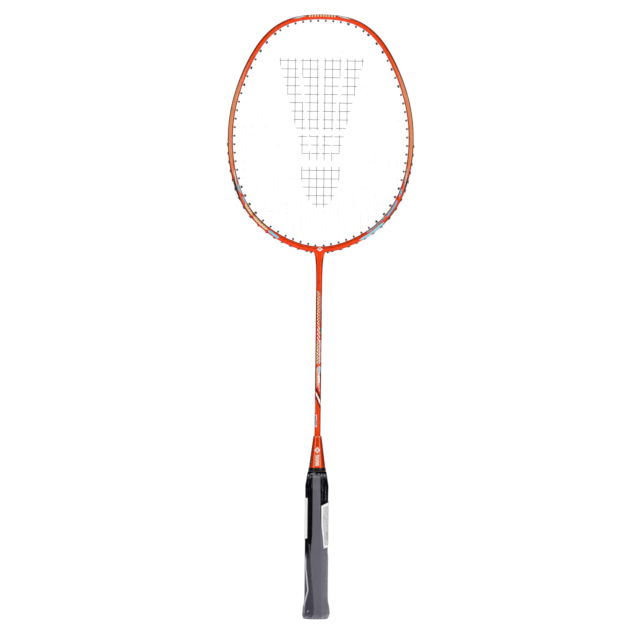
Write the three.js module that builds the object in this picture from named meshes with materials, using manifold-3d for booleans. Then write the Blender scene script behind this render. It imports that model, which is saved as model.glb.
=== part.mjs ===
// Badminton racket, standing upright on its butt cap. Millimetres.
// +Z runs up the handle to the crown, +X to the right across the stringbed, Y through its depth.
// The origin is the middle of the butt cap's flat end face.
import * as THREE from 'three';
import { ParametricGeometry } from 'three/addons/geometries/ParametricGeometry.js';
import { mergeVertices } from 'three/addons/utils/BufferGeometryUtils.js';
import Module from 'manifold-3d';

const wasm = await Module();
wasm.setup();

// ---- Driving sizes -------------------------------------------------------------------------
const overallLength = 675;
const headLength = 266;
const headWidth = 208.4;
const frameDepth = 10.6;
const frameFaceWidth = { crown: 5.5, side: 5.9, base: 6.9 };
const frameWall = 0.8;
const cavityInset = 2.6;
const clearance = 0.3;
const seatGap = 0.25;

const mainsPerSide = 11;
const outerMainToFrame = 10.65;
const crossCount = 22;
const firstCrossBelowCrown = 23.2;
const lastCrossAboveBase = 44.4;
const stringRadius = 0.34;
const stringSides = 5;
const stringToTip = 0.4;
const stringTurnIn = 1.8;
const layerOffset = 0.5;
const mouthShort = 0.5;
const loopTurn = { near: 0.5, far: 2.2 };

const groove = { depth: 2.1, width: 4.6, pastLastHole: 0.04 };
const stripBand = { thickness: 0.7, width: 3.8, pastLastHole: 0.035, endGap: 0.006 };
const grommet = { bore: 0.7, wall: 0.36, tipLength: 2.6, flangeRadius: 1.9, flangeThickness: 0.5 };
const sharedBore = 1.16;
const grommetSides = 6;
const barrelInBand = 0.1;
const shoulderPastBore = 0.5;
const leaningShoulder = 0.4;

const shaftRadius = 3.4;
const shaftBore = 2.5;
const stubLength = 37.4;
const shaftInHandle = 95;
const stemInShaft = 45;

const gripLength = 164.4;
const gripThickness = 1.3;
const gripAcross = { body: 25.6, butt: 30, shoulder: 26.2, top: 20.8 };
const depthShare = 0.9;
const collarLength = 4.2;
const collarThickness = 0.6;
const coneLength = 35;
const coneRadius = { base: 9.1, top: 4.5, wall: 0.9 };
const filmThickness = 0.15;
const filmEnds = { low: 3, belowTop: 8 };
const labelBand = {
  low: 82, high: 132, thickness: 0.15, open: { from: -10, to: 5.6, behind: -5 },
};
const buttCapThickness = 2.4;
const buttChamfer = 0.6;
const badge = { radius: 8, thickness: 0.4 };

// ---- Materials -----------------------------------------------------------------------------
const finish = (color, roughness, metalness = 0) =>
  new THREE.MeshStandardMaterial({ color, roughness, metalness });
const orangePaint = finish(0xe8481c, 0.2, 0.1);
const whiteString = finish(0xf2f2ee, 0.35);
const blackPlastic = finish(0x1c1c1e, 0.45);
const clearPlastic = finish(0xc9c9c4, 0.3);
const carbon = finish(0x2a2a2c, 0.5);
const wood = finish(0xc9a06a, 0.7);
const greyGrip = finish(0x6c6a72, 0.75);
const film = finish(0xdedee2, 0.15);
const paper = finish(0xf4f4f2, 0.8);

const racket = new THREE.Group();
racket.name = 'badminton_racket';

// ---- Solids --------------------------------------------------------------------------------
/** A closed geometry as a solid: shared corners merged, collapsed triangles dropped, faces outward. */
function toSolid(geometry) {
  const bare = geometry.clone();
  bare.deleteAttribute('normal');
  bare.deleteAttribute('uv');
  const merged = mergeVertices(bare, 1e-4);
  const points = merged.attributes.position.array;
  const corner = (i) => new THREE.Vector3().fromArray(points, 3 * i);
  const triangles = [];
  let volume = 0;
  for (let i = 0; i < merged.index.count; i += 3) {
    const [a, b, c] = merged.index.array.slice(i, i + 3);
    if (a === b || b === c || c === a) continue;
    triangles.push(a, b, c);
    volume += corner(a).dot(corner(b).cross(corner(c)));
  }
  if (volume < 0) triangles.reverse();
  return new wasm.Manifold(new wasm.Mesh({
    numProp: 3,
    vertProperties: new Float32Array(points),
    triVerts: new Uint32Array(triangles),
  }));
}

function toGeometry(solid) {
  const mesh = solid.getMesh();
  const geometry = new THREE.BufferGeometry();
  geometry.setAttribute('position', new THREE.BufferAttribute(mesh.vertProperties, 3));
  geometry.setIndex(new THREE.BufferAttribute(mesh.triVerts, 1));
  return geometry;
}

function addPiece(name, solid, material) {
  const geometry = toGeometry(solid).toNonIndexed();
  geometry.computeVertexNormals();
  const piece = new THREE.Mesh(geometry, material);
  piece.name = name;
  racket.add(piece);
  return piece;
}

/** A solid of revolution about +Z from [radius, height] corners. */
function turned(corners, sides = 24) {
  const profile = corners.map(([radius, height]) => new THREE.Vector2(radius, height));
  return toSolid(new THREE.LatheGeometry(profile, sides).rotateX(Math.PI / 2));
}

// ---- Head outline --------------------------------------------------------------------------
const headCentre = overallLength - headLength / 2;
const baseEdge = overallLength - headLength;
const hoopSegments = 64;
const segmentTurn = 2 * Math.PI / hoopSegments;

/** Outer edge of the hoop at a turn angle: an ellipse, squared towards the crown's shoulders. */
function outerEdge(turn) {
  const fullness = 1.0084 - 0.0038 * Math.cos(2 * turn) - 0.013 * Math.sin(3 * turn)
    - 0.0098 * Math.cos(4 * turn) - 0.0079 * Math.sin(5 * turn)
    + 0.0023 * Math.cos(6 * turn) + 0.0053 * Math.sin(7 * turn);
  const x = headWidth / 2 * fullness * Math.cos(turn);
  const z = headCentre + headLength / 2 * fullness * Math.sin(turn);
  return new THREE.Vector3(x, 0, z);
}

function outwardNormal(turn) {
  const along = outerEdge(turn + 1e-3).sub(outerEdge(turn - 1e-3)).normalize();
  return new THREE.Vector3(along.z, 0, -along.x);
}

function faceWidth(turn) {
  const height = Math.sin(turn);
  const { crown, side, base } = frameFaceWidth;
  return height > 0 ? side + (crown - side) * height ** 2 : side + (base - side) * height ** 4;
}

/** A point at a distance out from the hoop's outer edge (inwards is negative) and a depth y. */
function onHoop(turn, out, y = 0) {
  return outerEdge(turn).addScaledVector(outwardNormal(turn), out).setY(y);
}

/** A closed ring swept round the whole hoop between two distances from its outer edge.
 *  Its section is a rounded box with a flat inner and a flat outer face. */
function hoopRing(inner, outer, depth, roundness, around) {
  const flat = Math.cos(Math.PI / around);
  const surface = (u, v, target) => {
    const turn = 2 * Math.PI * v;
    const c = Math.cos(2 * Math.PI * u + Math.PI / around);
    const s = Math.sin(2 * Math.PI * u + Math.PI / around);
    const across = Math.sign(c) * Math.abs(c / flat) ** (2 / roundness);
    const through = Math.sign(s) * Math.abs(s) ** (2 / roundness);
    const middle = (outer(turn) + inner(turn)) / 2;
    const half = (outer(turn) - inner(turn)) / 2;
    target.copy(onHoop(turn, middle + half * across, depth / 2 * through));
  };
  return toSolid(new ParametricGeometry(surface, around, hoopSegments));
}

/** A bar of rectangular section that follows the hoop from one turn angle to another. */
function hoopBar(from, to, inner, outer, depth) {
  const corners = [[inner, -1], [outer, -1], [outer, 1], [inner, 1]];
  const turns = [from];
  for (let i = Math.floor(from / segmentTurn) + 1; i * segmentTurn < to; i += 1) {
    turns.push(i * segmentTurn);
  }
  turns.push(to);
  const rings = turns.length + 1;
  const surface = (u, v, target) => {
    const ring = Math.round(v * rings);
    const turn = turns[THREE.MathUtils.clamp(ring - 1, 0, turns.length - 1)];
    if (ring === 0 || ring === rings) {
      target.copy(onHoop(turn, (inner + outer) / 2));
      return;
    }
    const [out, side] = corners[Math.round(u * 4) % 4];
    target.copy(onHoop(turn, out, side * depth / 2));
  };
  return toSolid(new ParametricGeometry(surface, 4, rings));
}

// ---- String holes --------------------------------------------------------------------------
const mainsSpan = headWidth - 2 * (frameFaceWidth.side + outerMainToFrame);
const mainPitch = mainsSpan / (2 * mainsPerSide - 1);
const mainX = (k) => (k - 0.5) * mainPitch;
const firstCross = overallLength - firstCrossBelowCrown;
const lastCross = baseEdge + lastCrossAboveBase;
const crossPitch = (firstCross - lastCross) / (crossCount - 1);
const crossZ = (j) => firstCross - (j - 1) * crossPitch;
const crownSingles = 6;
const baseSingles = 8;
// The two base holes nearest the throat lean outwards to clear its stub.
const throatLean = 0.42;
const holeEntry = 1.8;
const throughEdge = 1;
// Mains that leave through a side hole: the main's number and that side hole's number.
const sharedTop = { 7: 1, 8: 2, 9: 3, 10: 5, 11: 7 };
const sharedBottom = { 11: 19, 10: 21, 9: 22 };
const grooveEndHole = 13;

const tipOut = (hole) => -faceWidth(hole.turn) - grommet.tipLength;

/** The way a hole leads outwards: square to the outer edge unless the hole leans. */
function holeDirection(hole) {
  const depth = new THREE.Vector3(0, 1, 0);
  return outwardNormal(hole.turn).applyAxisAngle(depth, -hole.lean);
}

/** A point on a hole's axis at a distance out from the hoop's edge, moved to a depth y. */
function inHole(hole, out, y = 0) {
  return outerEdge(hole.turn).addScaledVector(holeDirection(hole), out).setY(y);
}

/** The turn angle, between two limits, at which a hole's inner tip reaches a given x or z. */
function findTurn(low, high, axis, value, lean = 0) {
  let [a, b] = [low, high];
  const tipAt = (turn) => inHole({ turn, lean }, tipOut({ turn }))[axis];
  const rising = tipAt(b) > tipAt(a);
  for (let i = 0; i < 50; i += 1) {
    const middle = (a + b) / 2;
    const above = tipAt(middle) > value;
    if (above === rising) b = middle;
    else a = middle;
  }
  return (a + b) / 2;
}

const mirrored = (turn, side) => (side > 0 ? turn : Math.PI - turn);
const quarter = Math.PI / 2;
const shallow = 0.2 * quarter;

/** Every hole on one side of the hoop, crown to base, keyed by its place. */
function holesOnSide(side) {
  const holes = {};
  const add = (place, number, turn, shared, lean = 0) => {
    const name = `${place}${number}`;
    holes[name] = { place, number, side, turn: mirrored(turn, side), shared, lean: lean * side };
  };
  for (let k = 1; k <= crownSingles; k += 1) {
    const tiesCross = side > 0 && k === 4;
    add('crown', k, findTurn(shallow, quarter, 'x', mainX(k)), tiesCross);
  }
  const sharedSides = [...Object.values(sharedTop), ...Object.values(sharedBottom), 20];
  for (let j = 1; j <= crossCount; j += 1) {
    add('side', j, findTurn(-quarter, quarter, 'z', crossZ(j)), sharedSides.includes(j));
  }
  for (let k = baseSingles; k >= 1; k -= 1) {
    const tiesCross = side > 0 && k === 8;
    const lean = k === 1 ? throatLean : 0;
    add('base', k, findTurn(-shallow, -quarter, 'x', mainX(k), lean), tiesCross, lean);
  }
  return holes;
}

const holes = { left: holesOnSide(-1), right: holesOnSide(1) };
const allHoles = [...Object.values(holes.left), ...Object.values(holes.right)];
const inGroove = (hole) => hole.place === 'crown'
  || (hole.place === 'side' && hole.number <= grooveEndHole);
const boreRadius = (hole) => (hole.shared ? sharedBore : grommet.bore);
const barrelRadius = (hole) => boreRadius(hole) + grommet.wall;

/** The local frame of a hole: X along the hoop, Y outwards, Z through the racket's depth. */
function holeFrame(hole) {
  const outward = holeDirection(hole);
  const depth = new THREE.Vector3(0, 1, 0);
  const along = new THREE.Vector3().crossVectors(outward, depth);
  return new THREE.Matrix4().makeBasis(along, outward, depth).setPosition(outerEdge(hole.turn));
}

/** A six-sided piece turned about a hole's axis from [radius, distance out] corners. */
function turnedInHole(hole, corners) {
  const profile = corners.map(([radius, out]) => new THREE.Vector2(radius, out));
  const piece = new THREE.LatheGeometry(profile, grommetSides);
  return toSolid(piece.applyMatrix4(holeFrame(hole)));
}

function plugInHole(hole, radius, from, to) {
  return turnedInHole(hole, [[0, from], [radius, from], [radius, to], [0, to]]);
}

// ---- Frame: hoop and throat stub -----------------------------------------------------------
const cavityOuter = -(groove.depth + frameWall);
const stubFoot = baseEdge - stubLength;

// The throat's flare: how far it has spread and how high it has run up the stub, knot by knot.
const throatKnots = [[0, 0], [0.2, 0.68], [1, 0.96], [3.4, 1.038]];
const throatMargin = 0.6;

/** The flared stub under the hoop, flattened to stay inside the hoop's depth. */
function throatStub() {
  const knots = throatKnots.map(([spread, share]) =>
    new THREE.Vector2(shaftRadius + spread, stubFoot + share * stubLength));
  const side = new THREE.CubicBezierCurve(...knots).getPoints(9);
  const foot = new THREE.Vector2(0, stubFoot);
  const profile = [foot, ...side, new THREE.Vector2(0, side[side.length - 1].y)];
  const stub = new THREE.LatheGeometry(profile, 20).rotateX(Math.PI / 2);
  const points = stub.attributes.position;
  const deepest = frameDepth / 2 - throatMargin;
  for (let i = 0; i < points.count; i += 1) {
    const radius = Math.hypot(points.getX(i), points.getY(i));
    const flattening = (1 + (radius / deepest) ** 6) ** (-1 / 6);
    points.setY(i, points.getY(i) * flattening);
  }
  return toSolid(stub);
}

function headFrame() {
  const outerFace = () => 0;
  const innerFace = (turn) => -faceWidth(turn);
  const shell = hoopRing(innerFace, outerFace, frameDepth, 3, 10);
  const cavity = hoopRing(
    (turn) => innerFace(turn) + frameWall,
    () => cavityOuter,
    frameDepth - cavityInset,
    4,
    6,
  );
  const grooveFrom = holes.right[`side${grooveEndHole}`].turn - groove.pastLastHole;
  const channel = hoopBar(grooveFrom, Math.PI - grooveFrom, -groove.depth, 1, groove.width);
  let frame = shell.add(throatStub()).subtract(cavity).subtract(channel);
  for (const hole of allHoles) {
    const radius = barrelRadius(hole) + clearance;
    frame = frame.subtract(plugInHole(hole, radius, -faceWidth(hole.turn) - holeEntry, throughEdge));
  }
  const boreTop = baseEdge - cavityOuter + 2 * stemInBar;
  const stemBore = [[0, stubFoot - throughEdge], [shaftBore, stubFoot - throughEdge],
    [shaftBore, boreTop], [0, boreTop]];
  return frame.subtract(turned(stemBore, 16));
}

// ---- T-joint: the insert bonded inside hoop and shaft ----------------------------------------
const jointReach = 0.14;
const jointWidth = 5.2;
const jointDepth = 12;
const stemInBar = 0.2;

function tJoint() {
  const low = cavityOuter - clearance;
  const high = -frameFaceWidth.base + frameWall + clearance;
  const crossbar = hoopBar(-quarter - jointReach, -quarter + jointReach, high, low, jointWidth);
  const stemRadius = shaftBore - clearance;
  const stemFoot = stubFoot - stemInShaft;
  const stemTop = baseEdge - low + stemInBar;
  const stem = turned([[0, stemFoot], [stemRadius, stemFoot], [stemRadius, stemTop], [0, stemTop]], 12);
  let joint = crossbar.add(stem);
  for (const hole of allHoles) {
    if (hole.place === 'base' && hole.number <= 2) {
      joint = joint.subtract(plugInHole(hole, barrelRadius(hole) + clearance, -jointDepth, throughEdge));
    }
  }
  return joint;
}

// ---- Shaft -----------------------------------------------------------------------------------
const coneFoot = gripLength + collarLength + 2 * clearance;
const coneTop = coneFoot + coneLength;
const shaftFoot = coneTop - shaftInHandle;

function shaft() {
  const top = stubFoot - clearance;
  return turned([[shaftBore, shaftFoot], [shaftRadius, shaftFoot], [shaftRadius, top],
    [shaftBore, top], [shaftBore, shaftFoot]], 20);
}

// ---- Grommets --------------------------------------------------------------------------------
const bandTop = -groove.depth + seatGap + stripBand.thickness;

/** A strip: a flat band lying in the hoop's outer groove with one barrel per string hole. */
function grommetStrip(from, to, members) {
  let strip = hoopBar(from, to, bandTop - stripBand.thickness, bandTop, stripBand.width);
  for (const hole of members) {
    const foot = tipOut(hole);
    strip = strip.add(plugInHole(hole, barrelRadius(hole), foot, bandTop - barrelInBand));
  }
  for (const hole of members) {
    strip = strip.subtract(plugInHole(hole, boreRadius(hole), tipOut(hole) - throughEdge, throughEdge));
  }
  return strip;
}

const flangeRadius = (hole) => (hole.lean ? barrelRadius(hole) + leaningShoulder
  : Math.max(grommet.flangeRadius, barrelRadius(hole) + shoulderPastBore));
const flangeSeat = (hole) => seatGap + flangeRadius(hole) * Math.sin(Math.abs(hole.lean));

function singleGrommet(hole) {
  const bore = boreRadius(hole);
  const barrel = barrelRadius(hole);
  const foot = tipOut(hole);
  const under = flangeSeat(hole);
  const top = under + grommet.flangeThickness;
  const flange = flangeRadius(hole);
  return turnedInHole(hole, [[bore, foot], [barrel, foot], [barrel, under], [flange, under],
    [flange, top], [bore, top], [bore, foot]]);
}

// ---- Strings ---------------------------------------------------------------------------------
/** A route that passes through chosen points only, with straight runs between them. */
class StringRoute extends THREE.Curve {
  constructor(points) {
    super();
    this.points = points;
  }

  getPointAt(share, target = new THREE.Vector3()) {
    return target.copy(this.points[Math.round(share * (this.points.length - 1))]);
  }

  getTangentAt(share, target = new THREE.Vector3()) {
    const last = this.points.length - 1;
    const i = Math.round(share * last);
    const here = this.points[i];
    const before = here.clone().sub(this.points[Math.max(i - 1, 0)]).normalize();
    const after = this.points[Math.min(i + 1, last)].clone().sub(here).normalize();
    return target.copy(before.add(after)).normalize();
  }
}

const loopOut = (hole) => {
  const seat = inGroove(hole) ? bandTop : flangeSeat(hole) + grommet.flangeThickness;
  return seat + seatGap + stringRadius;
};

/** Points where a string passes from the stringbed out through a hole. */
function throughHole(hole, layer) {
  const y = hole.shared ? layer * layerOffset : 0;
  const points = [];
  const tip = inHole(hole, tipOut(hole) - stringToTip, y);
  const inside = hole.place === 'side' && layer < 0
    ? new THREE.Vector3(-hole.side, 0, 0)
    : new THREE.Vector3(0, 0, -Math.sign(Math.sin(hole.turn)));
  if (!hole.shared) {
    points.push(tip.clone().addScaledVector(inside, stringTurnIn).setY(layer * layerOffset));
  }
  points.push(tip);
  points.push(inHole(hole, loopOut(hole) - mouthShort, y));
  return points;
}

/** Points of the loop outside the hoop from one hole to the next, passing over any between. */
function loopBetween(from, to, between, layer) {
  const heading = Math.sign(to.turn - from.turn);
  const shift = (hole, distance) => distance * heading / outerEdge(hole.turn).distanceTo(
    new THREE.Vector3(0, 0, headCentre));
  const side = layer * 2 * layerOffset;
  const mouth = (hole) => (hole.shared ? layer * layerOffset : 0);
  const points = [
    onHoop(from.turn + shift(from, loopTurn.near), loopOut(from), mouth(from)),
    onHoop(from.turn + shift(from, loopTurn.far), loopOut(from), side),
  ];
  for (const hole of between) {
    points.push(onHoop(hole.turn, loopOut(hole), side));
  }
  points.push(onHoop(to.turn - shift(to, loopTurn.far), loopOut(to), side));
  points.push(onHoop(to.turn - shift(to, loopTurn.near), loopOut(to), mouth(to)));
  return points;
}

function stringAlong(points) {
  const corners = [];
  for (let i = 0; i < stringSides; i += 1) {
    const angle = 2 * Math.PI * i / stringSides;
    corners.push(new THREE.Vector2(stringRadius * Math.cos(angle), stringRadius * Math.sin(angle)));
  }
  const route = new StringRoute(points);
  const tube = new THREE.ExtrudeGeometry(new THREE.Shape(corners), {
    extrudePath: route,
    steps: points.length - 1,
    bevelEnabled: false,
  });
  return toSolid(tube);
}

const topHole = (side, k) => (k in sharedTop ? side[`side${sharedTop[k]}`] : side[`crown${k}`]);
const bottomHole = (side, k) => (
  k in sharedBottom ? side[`side${sharedBottom[k]}`] : side[`base${k}`]);

/** Half of the mains, from the crown's middle out to the tie-off beside the outermost main. */
function mainsOnSide(side) {
  const points = [];
  let upward = false;
  for (let k = 1; k <= mainsPerSide; k += 1) {
    const start = upward ? bottomHole(side, k) : topHole(side, k);
    const end = upward ? topHole(side, k) : bottomHole(side, k);
    points.push(...throughHole(start, 1).reverse(), ...throughHole(end, 1));
    if (k < mainsPerSide) {
      const next = upward ? topHole(side, k + 1) : bottomHole(side, k + 1);
      const skipped = upward && k === 10 ? [side.side6] : [];
      points.push(...loopBetween(end, next, skipped, 1));
    }
    upward = !upward;
  }
  const last = bottomHole(side, mainsPerSide);
  points.push(...loopBetween(last, side.side20, [], 1));
  points.push(...throughHole(side.side20, 1).reverse());
  return points;
}

function mainString() {
  const right = mainsOnSide(holes.right);
  const left = mainsOnSide(holes.left);
  const over = loopBetween(holes.left.crown1, holes.right.crown1, [], 1);
  return stringAlong([...left.reverse(), ...over, ...right]);
}

/** The crosses: tied at the crown's right, down all rows from side to side, tied at the base. */
function crossString() {
  const { left, right } = holes;
  const points = [
    ...throughHole(right.crown4, -1),
    ...loopBetween(right.crown4, right.side1, [right.crown5, right.crown6], -1),
  ];
  for (let j = 1; j <= crossCount; j += 1) {
    const leftward = j % 2 === 1;
    const [start, end] = leftward ? [right, left] : [left, right];
    points.push(...throughHole(start[`side${j}`], -1).reverse());
    points.push(...throughHole(end[`side${j}`], -1));
    if (j < crossCount) {
      points.push(...loopBetween(end[`side${j}`], end[`side${j + 1}`], [], -1));
    }
  }
  points.push(...loopBetween(right.side22, right.base8, [], -1));
  points.push(...throughHole(right.base8, -1).reverse());
  return stringAlong(points);
}

// ---- Handle ----------------------------------------------------------------------------------
const flatToCorner = 1 / Math.cos(Math.PI / 8);

/** An octagonal piece from [half width across flats, height] corners, narrower through its depth. */
function octagonal(corners) {
  const profile = corners.map(([half, height]) => new THREE.Vector2(half * flatToCorner, height));
  const piece = new THREE.LatheGeometry(profile, 8, Math.PI / 8);
  return toSolid(piece.rotateX(Math.PI / 2).scale(1, depthShare, 1));
}

// Heights where the grip's outline changes, each with its half width.
const gripOutline = [
  [gripAcross.butt / 2 - 1.6, clearance],
  [gripAcross.butt / 2 - 0.5, 2],
  [gripAcross.butt / 2, 5],
  [gripAcross.butt / 2 - 0.45, 11.5],
  [gripAcross.body / 2 + 0.4, 18.5],
  [gripAcross.body / 2, 26],
  [gripAcross.body / 2, gripLength - 30],
  [gripAcross.shoulder / 2, gripLength - 16],
  [gripAcross.top / 2, gripLength],
];
const offsetOutline = (out) => gripOutline.map(([half, height]) => [half + out, height]);

// Cutting blocks reach past whatever they cut, sideways and endways.
const wide = 60;
const beyond = 5;

/** A sleeve over the handle between two distances from the grip's outside. */
function sleeve(inner, outer, low, high) {
  const clip = turned([[0, low], [wide, low], [wide, high], [0, high]], 8);
  const outside = octagonal([[0, clearance], ...offsetOutline(outer), [0, gripLength]]);
  const footHalf = gripOutline[0][0] + inner;
  const topHalf = gripOutline[gripOutline.length - 1][0] + inner;
  const inside = octagonal([[0, -beyond], [footHalf, -beyond], ...offsetOutline(inner),
    [topHalf, gripLength + beyond], [0, gripLength + beyond]]);
  return outside.subtract(inside).intersect(clip);
}

const lipLength = 6;
const noseBelowTop = 15;
const noseInGrip = 20;
const noseGap = 0.35;
const coneStraight = 2;
const coneThroat = coneTop - lipLength;
const shaftHole = shaftRadius + clearance;
const coneInside = (z) =>
  THREE.MathUtils.mapLinear(z, coneFoot, coneThroat, coneRadius.base - coneRadius.wall, shaftHole);

function handleCore() {
  const inward = gripThickness + clearance;
  const nose = coneRadius.base - coneRadius.wall - clearance;
  const noseEnd = coneTop - noseBelowTop;
  const noseTop = coneInside(noseEnd) - noseGap;
  const foot = buttCapThickness + clearance;
  const body = octagonal([[0, foot], ...offsetOutline(-inward).slice(1), [0, gripLength]]);
  const bottom = turned([[0, -beyond], [wide, -beyond], [wide, foot], [0, foot]], 8);
  const root = gripLength - noseInGrip;
  const spigot = turned([[0, root], [nose, root], [nose, coneFoot],
    [noseTop, noseEnd], [0, noseEnd]], 28);
  const bore = turned([[0, shaftFoot - clearance], [shaftHole, shaftFoot - clearance],
    [shaftHole, coneTop], [0, coneTop]], 20);
  return body.subtract(bottom).add(spigot).subtract(bore);
}

function coneCap() {
  const { base, top, wall } = coneRadius;
  const skirt = gripLength + clearance;
  return turned([[base - wall, skirt], [base, skirt], [base, coneFoot + coneStraight], [top, coneTop],
    [shaftHole, coneTop], [shaftHole, coneThroat], [base - wall, coneFoot], [base - wall, skirt]], 28);
}

function collar() {
  const inner = coneRadius.base + clearance;
  const outer = inner + collarThickness;
  const low = gripLength + clearance;
  const high = low + collarLength;
  return turned([[inner, low], [outer, low], [outer, high], [inner, high], [inner, low]], 28);
}

function buttCap() {
  const half = gripOutline[0][0] - gripThickness - clearance;
  const recess = badge.thickness + clearance;
  const block = octagonal([[0, 0], [half - buttChamfer, 0], [half, buttChamfer],
    [half, buttCapThickness], [0, buttCapThickness]]);
  const pocket = badge.radius + clearance;
  return block.subtract(turned([[0, -beyond], [pocket, -beyond], [pocket, recess], [0, recess]], 24));
}

function buttBadge() {
  const { radius, thickness } = badge;
  return turned([[0, 0], [radius, 0], [radius, thickness], [0, thickness]], 24);
}

const filmOut = clearance;
const labelOut = filmOut + filmThickness + clearance;

function careLabel() {
  const wrap = sleeve(labelOut, labelOut + labelBand.thickness, labelBand.low, labelBand.high);
  const { from, to, behind } = labelBand.open;
  const front = new THREE.BoxGeometry(to - from, wide, gripLength);
  front.translate((from + to) / 2, behind - wide / 2, gripLength / 2);
  return wrap.subtract(toSolid(front));
}

// ---- Assembly --------------------------------------------------------------------------------
addPiece('head_frame', headFrame(), orangePaint);
addPiece('t_joint', tJoint(), carbon);
addPiece('shaft', shaft(), orangePaint);
addPiece('main_string', mainString(), whiteString);
addPiece('cross_string', crossString(), whiteString);

const crownEnd = (holes.right.crown6.turn + holes.right.side1.turn) / 2;
const crownHoles = allHoles.filter((hole) => hole.place === 'crown');
const crownStart = crownEnd + stripBand.endGap;
addPiece('crown_grommet_strip',
  grommetStrip(crownStart, mirrored(crownStart, -1), crownHoles), blackPlastic);
for (const [name, side] of Object.entries(holes)) {
  const members = Object.values(side).filter((hole) => inGroove(hole) && hole.place === 'side');
  const last = members[members.length - 1];
  const ends = [last.turn - stripBand.pastLastHole * last.side,
    mirrored(crownEnd - stripBand.endGap, last.side)];
  addPiece(`${name}_grommet_strip`,
    grommetStrip(Math.min(...ends), Math.max(...ends), members), blackPlastic);
  for (const hole of Object.values(side).filter((one) => !inGroove(one))) {
    addPiece(`${name}_grommet_${hole.place}_${hole.number}`, singleGrommet(hole), clearPlastic);
  }
}

addPiece('handle_core', handleCore(), wood);
addPiece('base_grip', sleeve(-gripThickness, 0, clearance, gripLength), greyGrip);
addPiece('cone_cap', coneCap(), orangePaint);
addPiece('collar_band', collar(), blackPlastic);
addPiece('butt_cap', buttCap(), blackPlastic);
addPiece('butt_badge', buttBadge(), paper);
addPiece('grip_film', sleeve(filmOut, filmOut + filmThickness, filmEnds.low,
  gripLength - filmEnds.belowTop), film);
addPiece('care_label', careLabel(), paper);

export default racket;
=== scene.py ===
"""Badminton racket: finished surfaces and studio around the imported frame.

Everything is in metres, upright on the butt cap, with +Z to the crown, +X to the right across the
stringbed and the front face towards -Y.
"""
from __future__ import annotations

import logging
import math
from collections.abc import Callable
from dataclasses import dataclass
from enum import Enum

import bpy
import numpy as np
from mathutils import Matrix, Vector


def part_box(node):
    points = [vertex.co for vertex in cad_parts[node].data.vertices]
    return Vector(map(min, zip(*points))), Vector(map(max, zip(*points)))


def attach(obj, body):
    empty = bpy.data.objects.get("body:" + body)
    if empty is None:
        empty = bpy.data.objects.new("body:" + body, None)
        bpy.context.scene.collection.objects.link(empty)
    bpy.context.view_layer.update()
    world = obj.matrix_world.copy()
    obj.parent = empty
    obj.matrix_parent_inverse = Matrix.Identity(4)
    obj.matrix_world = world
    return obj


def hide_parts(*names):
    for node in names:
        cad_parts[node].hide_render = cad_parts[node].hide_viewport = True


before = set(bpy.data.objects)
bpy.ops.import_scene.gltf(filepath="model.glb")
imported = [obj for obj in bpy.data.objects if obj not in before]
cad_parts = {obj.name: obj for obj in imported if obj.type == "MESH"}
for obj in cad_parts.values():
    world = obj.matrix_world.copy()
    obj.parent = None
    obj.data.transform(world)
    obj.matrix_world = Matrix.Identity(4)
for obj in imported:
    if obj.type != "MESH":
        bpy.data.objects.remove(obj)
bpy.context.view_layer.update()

logging.basicConfig(level=logging.INFO, format="%(message)s")
log = logging.getLogger("racket")

MM = 0.001
BODY = "root"
QUARTER = math.pi / 2

Array = np.ndarray
Piece = bpy.types.Object
Material = bpy.types.Material
Colour = tuple[float, float, float]
Stretch = tuple[float, float, float]
Reader = Callable[[float], float]
Curve = tuple[tuple[float, ...], tuple[float, ...]]

# Sizes that several pieces share, in millimetres. A distance out is measured from the hoop's outer
# edge, and inwards is negative.
STRING_RADIUS = 0.34
PLAIN_BORE = 0.7
SHARED_BORE = 1.16
BARREL_WALL = 0.36
LEAST_FLANGE = 1.9
FLANGE_LIP = 0.5
LEANING_LIP = 0.4
SEAT_GAP = 0.25
BAND_TOP = -1.15
FLANGE_HEIGHT = 0.5
TIP_REACH = 0.4
SHARED_OFFSET = 0.5
WEAVE_DEPTH = 0.36
LABEL_SPAN = 70.0
GRIP_TOP = 164.4
CORNER_POWER = 26
ARC_POINTS = 2001
LAST_GROOVED = 13

# Which side hole an outer main's upper and lower end shares with a cross, by the main's number.
TOP_SIDE = {7: 1, 8: 2, 9: 3, 10: 5, 11: 7}
LOW_SIDE = {11: 19, 10: 21, 9: 22}


def srgb(red: int, green: int, blue: int) -> Colour:
    """Turn an 8-bit display colour into the linear one that shaders use.

    Args:
        red: Red, 0 to 255.
        green: Green, 0 to 255.
        blue: Blue, 0 to 255.

    Returns:
        The linear colour.
    """
    def linear(value: int) -> float:
        """One channel by the standard display curve."""
        share = value / 255
        return share / 12.92 if share <= 0.04045 else ((share + 0.055) / 1.055) ** 2.4

    return linear(red), linear(green), linear(blue)


# ---- Mesh helpers --------------------------------------------------------------------------


def smooth_step(value: Array, low: float, high: float) -> Array:
    """Rise from 0 at low to 1 at high along the cubic 3t^2 - 2t^3."""
    share = np.clip((value - low) / (high - low), 0.0, 1.0)
    return share * share * (3 - 2 * share)


def ripple(first: Array, second: Array, seed: int, waves: int = 9) -> Array:
    """Sum cosine waves of seeded heading, length and phase, scaled to about -1 to 1.

    Args:
        first: One coordinate of each point.
        second: The other coordinate of each point.
        seed: Seed of the waves.
        waves: How many waves are summed.

    Returns:
        The height at each point.
    """
    rng = np.random.default_rng(seed)
    total = np.zeros(np.broadcast(first, second).shape)
    for _ in range(waves):
        heading = rng.uniform(0, 2 * np.pi)
        rate = rng.uniform(0.6, 2.4)
        phase = rng.uniform(0, 2 * np.pi)
        total += np.cos(rate * (first * np.cos(heading) + second * np.sin(heading)) + phase)
    return total / math.sqrt(waves * 2)


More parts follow.
